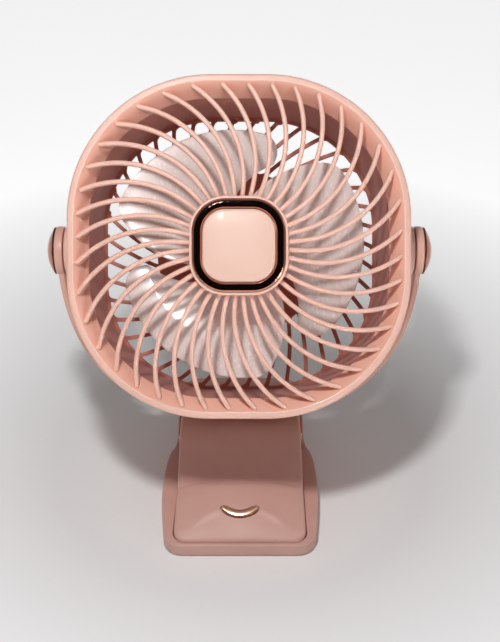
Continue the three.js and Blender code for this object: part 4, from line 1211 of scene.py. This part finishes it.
inlay_shape = smile(0, 0.6 * MM, -1.0 * MM, squareness=0.8)
bmesh.ops.recalc_face_normals(inlay_shape, faces=inlay_shape.faces)
# faces turned to the front get rose gold and the rest pale gold: a painted reflection by which way each face
# looks
for face in inlay_shape.faces:
    face.material_index = 1 if face.normal.y < front_facing else 0
inlay = piece("crescent_inlay", inlay_shape, pale_gold, "clip_body", ["crescent_trim"],
              sharp=60)
inlay.data.materials.append(rose_gold)

# %% [markdown]
# ## The hinge caps
# Two plated discs hide the ends of the hinge's pin. From the front only their thin edges show. A cylinder
# with a Bevel modifier would do, but a spun profile also gives each face its slight dome.

# %% The hinge caps
hinge_cap = filleted([
    (0.001 * MM, 0, 0), (9 * MM, 0, 0), (9 * MM, 0.9 * MM, 0.5 * MM), (8.2 * MM, 1.25 * MM, 0.3 * MM),
    (0.001 * MM, 1.5 * MM, 0)])
for side, word in sides:
    seat = Matrix.Translation((side * (body_half(hinge_ahead) + 0.3 * MM), -hinge_ahead, hinge_height))
    piece("hinge_disc_" + word, round_piece(hinge_cap, 96, closed=True), rose_gold, "clip_body",
          ["hinge_cap_" + word], seat @ sideways(side))

# %% [markdown]
# ## The closing spring
# A torsion spring shares its turn among its coils: one leg stays with the jaw, the other with the body. A
# stiff spring would cut through the body as the jaw opens. The frame's coil is taken as a start, and its wire
# is rounded by one smooth subdivision; here it rides on no body.

# %% The spring
coil = bmesh.new()
coil.from_mesh(frame["nodes"]["torsion_spring"].data)
bmesh.ops.remove_doubles(coil, verts=coil.verts, dist=0.001 * MM)
bmesh.ops.subdivide_edges(coil, edges=coil.edges, cuts=1, use_grid_fill=True, smooth=1.0)
spring = piece("closing_spring", coil, zinc, None, ["torsion_spring"], sharp=60)
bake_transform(spring)

# %% [markdown]
# ## The jaw it stands on
# The lower jaw is a shallow tub whose outline swells past the body, like a slipper seen from above. Its outer
# outline, its rim and the tray inside it are rings of the same number of points, so one skin runs from the
# underside up over the rim and down into the tray, with a true rounding on each edge. Insetting a block's top
# wouldn't do, because tray and outline differ in shape. Cuts then open the tail and clear the hinge for the
# swing and sink a recess for the rubber sheet below, and two ears rise to the pin.

# %% The jaw's outlines
jaw_toe = 66 * MM
jaw_rear = -34 * MM
jaw_points = [(-34, 27), (-20, 29.8), (-6, 31), (10, 34.9), (28, 36.2), (44, 35.6), (66, 33.2)]
tray_gap = 0.45 * MM


def corner_outline(inset, half_at, rear, toe, rear_radius, toe_radius):
    """Points round an outline with rounded corners, going round from the tail"""
    rear, toe = rear + inset, toe - inset
    rear_arc, toe_arc = max(rear_radius - inset, 1 * MM), max(toe_radius - inset, 1 * MM)
    rear_end, toe_end = rear + rear_arc, toe - toe_arc

    def corner(radius, ahead, start):
        middle = half_at(ahead) - inset - radius
        turns = [math.radians(start + 7.5 * i) for i in range(13)]
        return [(middle + radius * math.cos(turn), ahead + radius * math.sin(turn)) for turn in turns]

    along = [rear_end + (toe - toe_arc - rear - rear_arc) * i / 48 for i in range(1, 48)]
    right = corner(rear_arc, rear_end, -90) + [(half_at(ahead) - inset, ahead) for ahead in along]
    right += corner(toe_arc, toe_end, 0)
    return right + [(-x, ahead) for x, ahead in reversed(right)]


def jaw_half(ahead):
    return through(jaw_points, ahead / MM) * MM


def jaw_outline(inset):
    return corner_outline(inset, jaw_half, jaw_rear, jaw_toe, 9 * MM, 8.5 * MM)


def tray_outline(inset):
    return corner_outline(inset - tray_gap, plain_half, body_rear, body_toe, tail_radius, toe_radius)


def skinned(rings):
    """A closed skin over rings of equal point counts"""
    shape = bmesh.new()
    rows = [[shape.verts.new((x, -ahead, z)) for x, ahead in ring] for ring, z in rings]
    for low, high in zip(rows, rows[1:]):
        for i in range(len(low)):
            j = (i + 1) % len(low)
            shape.faces.new((low[i], low[j], high[j], high[i]))
    shape.faces.new(rows[0])
    shape.faces.new(rows[-1])
    bmesh.ops.remove_doubles(shape, verts=shape.verts, dist=0.0005 * MM)
    return shape


print("the jaw swells to", round(2 * jaw_half(28 * MM) / MM, 1), "mm")

# %% The jaw's tub
def quarter_turn(steps):
    return [math.radians(90 * i / steps) for i in range(steps + 1)]


jaw_foot = 0.6 * MM
jaw_top = 6.2 * MM
jaw_round = 0.8 * MM
tray_top = 6.65 * MM
tray_round = 0.35 * MM

rings = [(jaw_outline(jaw_round * (1 - math.sin(turn))), jaw_foot + jaw_round * (1 - math.cos(turn)))
         for turn in quarter_turn(4)]
rings += [(jaw_outline(jaw_round * (1 - math.cos(turn))), jaw_top + jaw_round * math.sin(turn))
          for turn in quarter_turn(6)]
rings += [(tray_outline(-tray_round * (1 - math.sin(turn))), tray_top + tray_round * math.cos(turn))
          for turn in quarter_turn(4)]
rings += [(tray_outline(0.0), 3.4 * MM), (tray_outline(0.4 * MM), 3 * MM)]
jaw = skinned(rings)
print("tub of the jaw:", len(rings), "rings of", len(rings[0][0]), "points")

# %% The jaw's cuts and ears
pad_inset = 4.7 * MM
ear_middle = 24.1 * MM
ear_half = 1.6 * MM

jaw = combined(jaw, block((-50 * MM, 13 * MM, 3 * MM), (50 * MM, 50 * MM, 20 * MM)))
jaw = combined(jaw, side_rod(9.5 * MM, through_all, hinge_ahead, hinge_height, 96))
jaw = combined(jaw, skinned([(jaw_outline(pad_inset), -1 * MM), (jaw_outline(pad_inset), 1.6 * MM)]))
for side, _ in sides:
    middle = side * ear_middle
    foot = block((middle - ear_half, -4 * MM, 2 * MM), (middle + ear_half, 9 * MM, hinge_height))
    eye = side_rod(6.5 * MM, ear_half, hinge_ahead, hinge_height)
    ear = combined(foot, placed(eye, Matrix.Translation((middle, 0, 0))), "UNION")
    jaw = combined(jaw, ear, "UNION")
jaw = combined(jaw, side_rod(pin_hole, through_all, hinge_ahead, hinge_height))
piece("jaw_shell", jaw, clip_pink, "base", ["base_jaw"], sharp=30)

# %% [markdown]
# ## The back of the head
# A shallow round cover closes in the board and the button behind the drum's disc. It faces away from the
# camera, but the head turns right over, so it gets the same care: a soft shoulder, three sunk screws with a
# cross cut, a polished button in the middle, and a hole for a small lamp above it. The cover could stay the
# frame's faceted solid, but its shoulder would show flats.

# %% The rear cover
cover_radius = 36 * MM
cover_back = shell_back - 7 * MM
cover_rim = shell_back - 0.3 * MM
cover_wall = 1.8 * MM
cover_inner = cover_radius - cover_wall
button_hole = 5.3 * MM
screw_circle = 28.5 * MM
screw_spots = []
for angle in (90, 210, 330):
    turn = math.radians(angle)
    screw_spots.append(Matrix.Translation((screw_circle * math.cos(turn), screw_circle * math.sin(turn), 0)))

cover = round_piece(filleted([
    (button_hole, cover_back, 0.3 * MM), (cover_radius - 5 * MM, cover_back, 8 * MM),
    (cover_radius, cover_back + 3.6 * MM, 3 * MM), (cover_radius, cover_rim, 0), (cover_inner, cover_rim, 0),
    (cover_inner, cover_back + 4.6 * MM, 2 * MM), (cover_radius - 6 * MM, cover_back + cover_wall, 3 * MM),
    (button_hole, cover_back + cover_wall, 0)], 8), 128, closed=True)
above, under, past_rim = cover_back - 1 * MM, cover_back + cover_wall, cover_rim + 1 * MM
for spot in screw_spots:
    post = rod(2.6 * MM, cover_back + 1 * MM, cover_rim, 32)
    sink = round_piece([(0, above), (2.1 * MM, above), (2.1 * MM, under), (1.1 * MM, under),
                        (1.1 * MM, past_rim), (0, past_rim)], 32, closed=True)
    cover = combined(combined(cover, placed(post, spot), "UNION"), placed(sink, spot))
lamp_hole = rod(1.5 * MM, above, cover_back + 4 * MM, 32)
cover = combined(cover, placed(lamp_hole, Matrix.Translation((0, 12 * MM, 0))))
piece("back_cover", cover, shell_pink, "head", ["rear_cover"], head_place, sharp=30)

# %% The button
button_back = cover_back - 1 * MM
button_flange = cover_back + 2.1 * MM
flange_end = button_flange + 1 * MM
button = round_piece(filleted([
    (0.001 * MM, button_back + 0.35 * MM, 0), (2.4 * MM, button_back + 0.2 * MM, 2 * MM),
    (4.2 * MM, button_back, 0.5 * MM), (5 * MM, button_back + 0.7 * MM, 0.4 * MM), (5 * MM, button_flange, 0),
    (6.2 * MM, button_flange, 0), (6.2 * MM, flange_end, 0), (0.001 * MM, flange_end, 0)]), 96, closed=True)
piece("push_button", button, rose_gold, "button", ["power_button"], head_place)

# %% The cover's screws
screw_seat = cover_back + 1.5 * MM
screw_top = screw_seat - 1.2 * MM
slot_floor = screw_seat - 0.5 * MM
for number, spot in enumerate(screw_spots, 1):
    screw = round_piece([
        (0, screw_top), (1.0 * MM, screw_top), (1.4 * MM, screw_seat - 1.05 * MM), (1.8 * MM, screw_seat),
        (0.8 * MM, screw_seat), (0.8 * MM, cover_rim), (0, cover_rim)], 40, closed=True)
    for x, y in ((0.16 * MM, 0.85 * MM), (0.85 * MM, 0.16 * MM)):
        screw = combined(screw, block((-x, -y, screw_seat - 2 * MM), (x, y, slot_floor)))
    piece(f"cross_screw_{number}", placed(screw, spot), zinc, "head", [f"cover_screw_{number}"],
          head_place)

# %% [markdown]
# ## Finishes for the solids that stay
# The pieces inside, and the plain ones whose shape is already right, stay as the frame gives them and get a
# finish of their kind. They could be modelled anew too, but nothing about them would look better for it.

# %% Materials on the frame's own nodes
finishes = {
    "zinc_steel": zinc, "circuit_board": board_green, "cell_wrap": cell_foil, "grip_rubber": pad_rubber,
    "clear_lens": lens_white, "deep_pink_shell": drum_pink_painted_shade, "soft_pink_shell": shell_pink,
    "body_pink_shell": clip_pink, "rose_chrome": rose_gold, "pale_gold_chrome": pale_gold,
    "milky_blade": milky}
slots = {part["node"]: part["material_slot"] for part in frame["record"]["subparts"]}
for name, node in frame["nodes"].items():
    node.data.materials.clear()
    node.data.materials.append(finishes[slots[name]])
    for face in node.data.polygons:
        face.material_index = 0
print("nodes finished:", len(slots))

# %% [markdown]
# ## Studio
# The fan stands on a white floor. One large soft light would be the usual choice, but then the head's shadow
# on the clip would have no edge, and in the photograph it has one. So a small key lamp stands above the front
# and a little to the left, and throws that shadow down to the crease behind the toe. A weak lamp from the
# right, whose grid keeps its light on the head, brightens the badge and the blades. The floor glows more the
# further it lies from the fan, as paper lit from behind does, and so stays pale while the fan keeps its
# shadow.

# %% The floor
floor = bmesh.new()
bmesh.ops.create_grid(floor, x_segments=2, y_segments=2, size=4)
floor_mesh = bpy.data.meshes.new("floor")
floor.to_mesh(floor_mesh)
floor.free()
floor_object = bpy.data.objects.new("floor", floor_mesh)
bpy.context.scene.collection.objects.link(floor_object)

glow_from = 0.09
dim, bright = (0.02, 0.02, 0.02, 1), (0.64, 0.64, 0.64, 1)
paper = Finish("paper")
fibre = paper.noise(3 * MM, 3)
away = paper.node("ShaderNodeVectorMath", {"operation": "LENGTH"}, {0: paper.place()}, output="Value")
glow = paper.blend((away - glow_from) * 4.5, dim, bright)
white = paper.blend(fibre, tone(250, 250, 250), tone(246, 246, 246))
paper.surface(Base_Color=white, Roughness=0.8 + 0.1 * fibre, Emission_Color=glow, Emission_Strength=1.0)
floor_mesh.materials.append(paper.material)
print("floor glows from", round(glow_from / MM), "mm off the middle")

# %% Lamps and world
def softbox(name, place, aim, size, power, spread=180):
    """A square lamp that looks at a place; a narrow spread works like a grid before it"""
    light = bpy.data.lights.new(name, "AREA")
    light.size = size
    light.energy = power
    light.spread = math.radians(spread)
    lamp = bpy.data.objects.new(name, light)
    lamp.location = place
    lamp.rotation_euler = (Vector(aim) - Vector(place)).to_track_quat("-Z", "Y").to_euler()
    bpy.context.scene.collection.objects.link(lamp)


softbox("key", (-0.05, -0.235, 0.48), (0, -0.03, 0.10), 0.04, 1.13)
softbox("grid", (0.30, -0.48, 0.20), (0, -0.03, 0.13), 0.12, 0.022, spread=26)

world = bpy.data.worlds.new("studio")
world.use_nodes = True
sky = world.node_tree.nodes["Background"].inputs
sky["Color"].default_value = (1, 1, 1, 1)
sky["Strength"].default_value = 0.22
bpy.context.scene.world = world
bpy.context.scene.view_settings.view_transform = "Standard"
print("lights:", len(bpy.data.lights))

# %% [markdown]
# ## Camera
# The photograph looks straight at the front from about 35 degrees above, near enough that the foot looks
# smaller than the head. A camera far away with a long lens would lose that. The height, distance and lens
# below put the edges where the photograph has them.

# %% The camera
dip = math.radians(35)
look = Vector((0, math.cos(dip), -math.sin(dip)))
camera = bpy.data.cameras.new("camera")
camera.sensor_fit = "HORIZONTAL"
camera.sensor_width = 36
camera.lens = 78.74
camera_object = bpy.data.objects.new("camera", camera)
camera_object.location = (0.0045, -0.4024, 0.3628)
camera_object.rotation_euler = look.to_track_quat("-Z", "Y").to_euler()
bpy.context.scene.collection.objects.link(camera_object)
bpy.context.scene.camera = camera_object
print("camera at", tuple(camera_object.location))

# %% [markdown]
# ## Done

# %% The end
print("the scene is dressed")
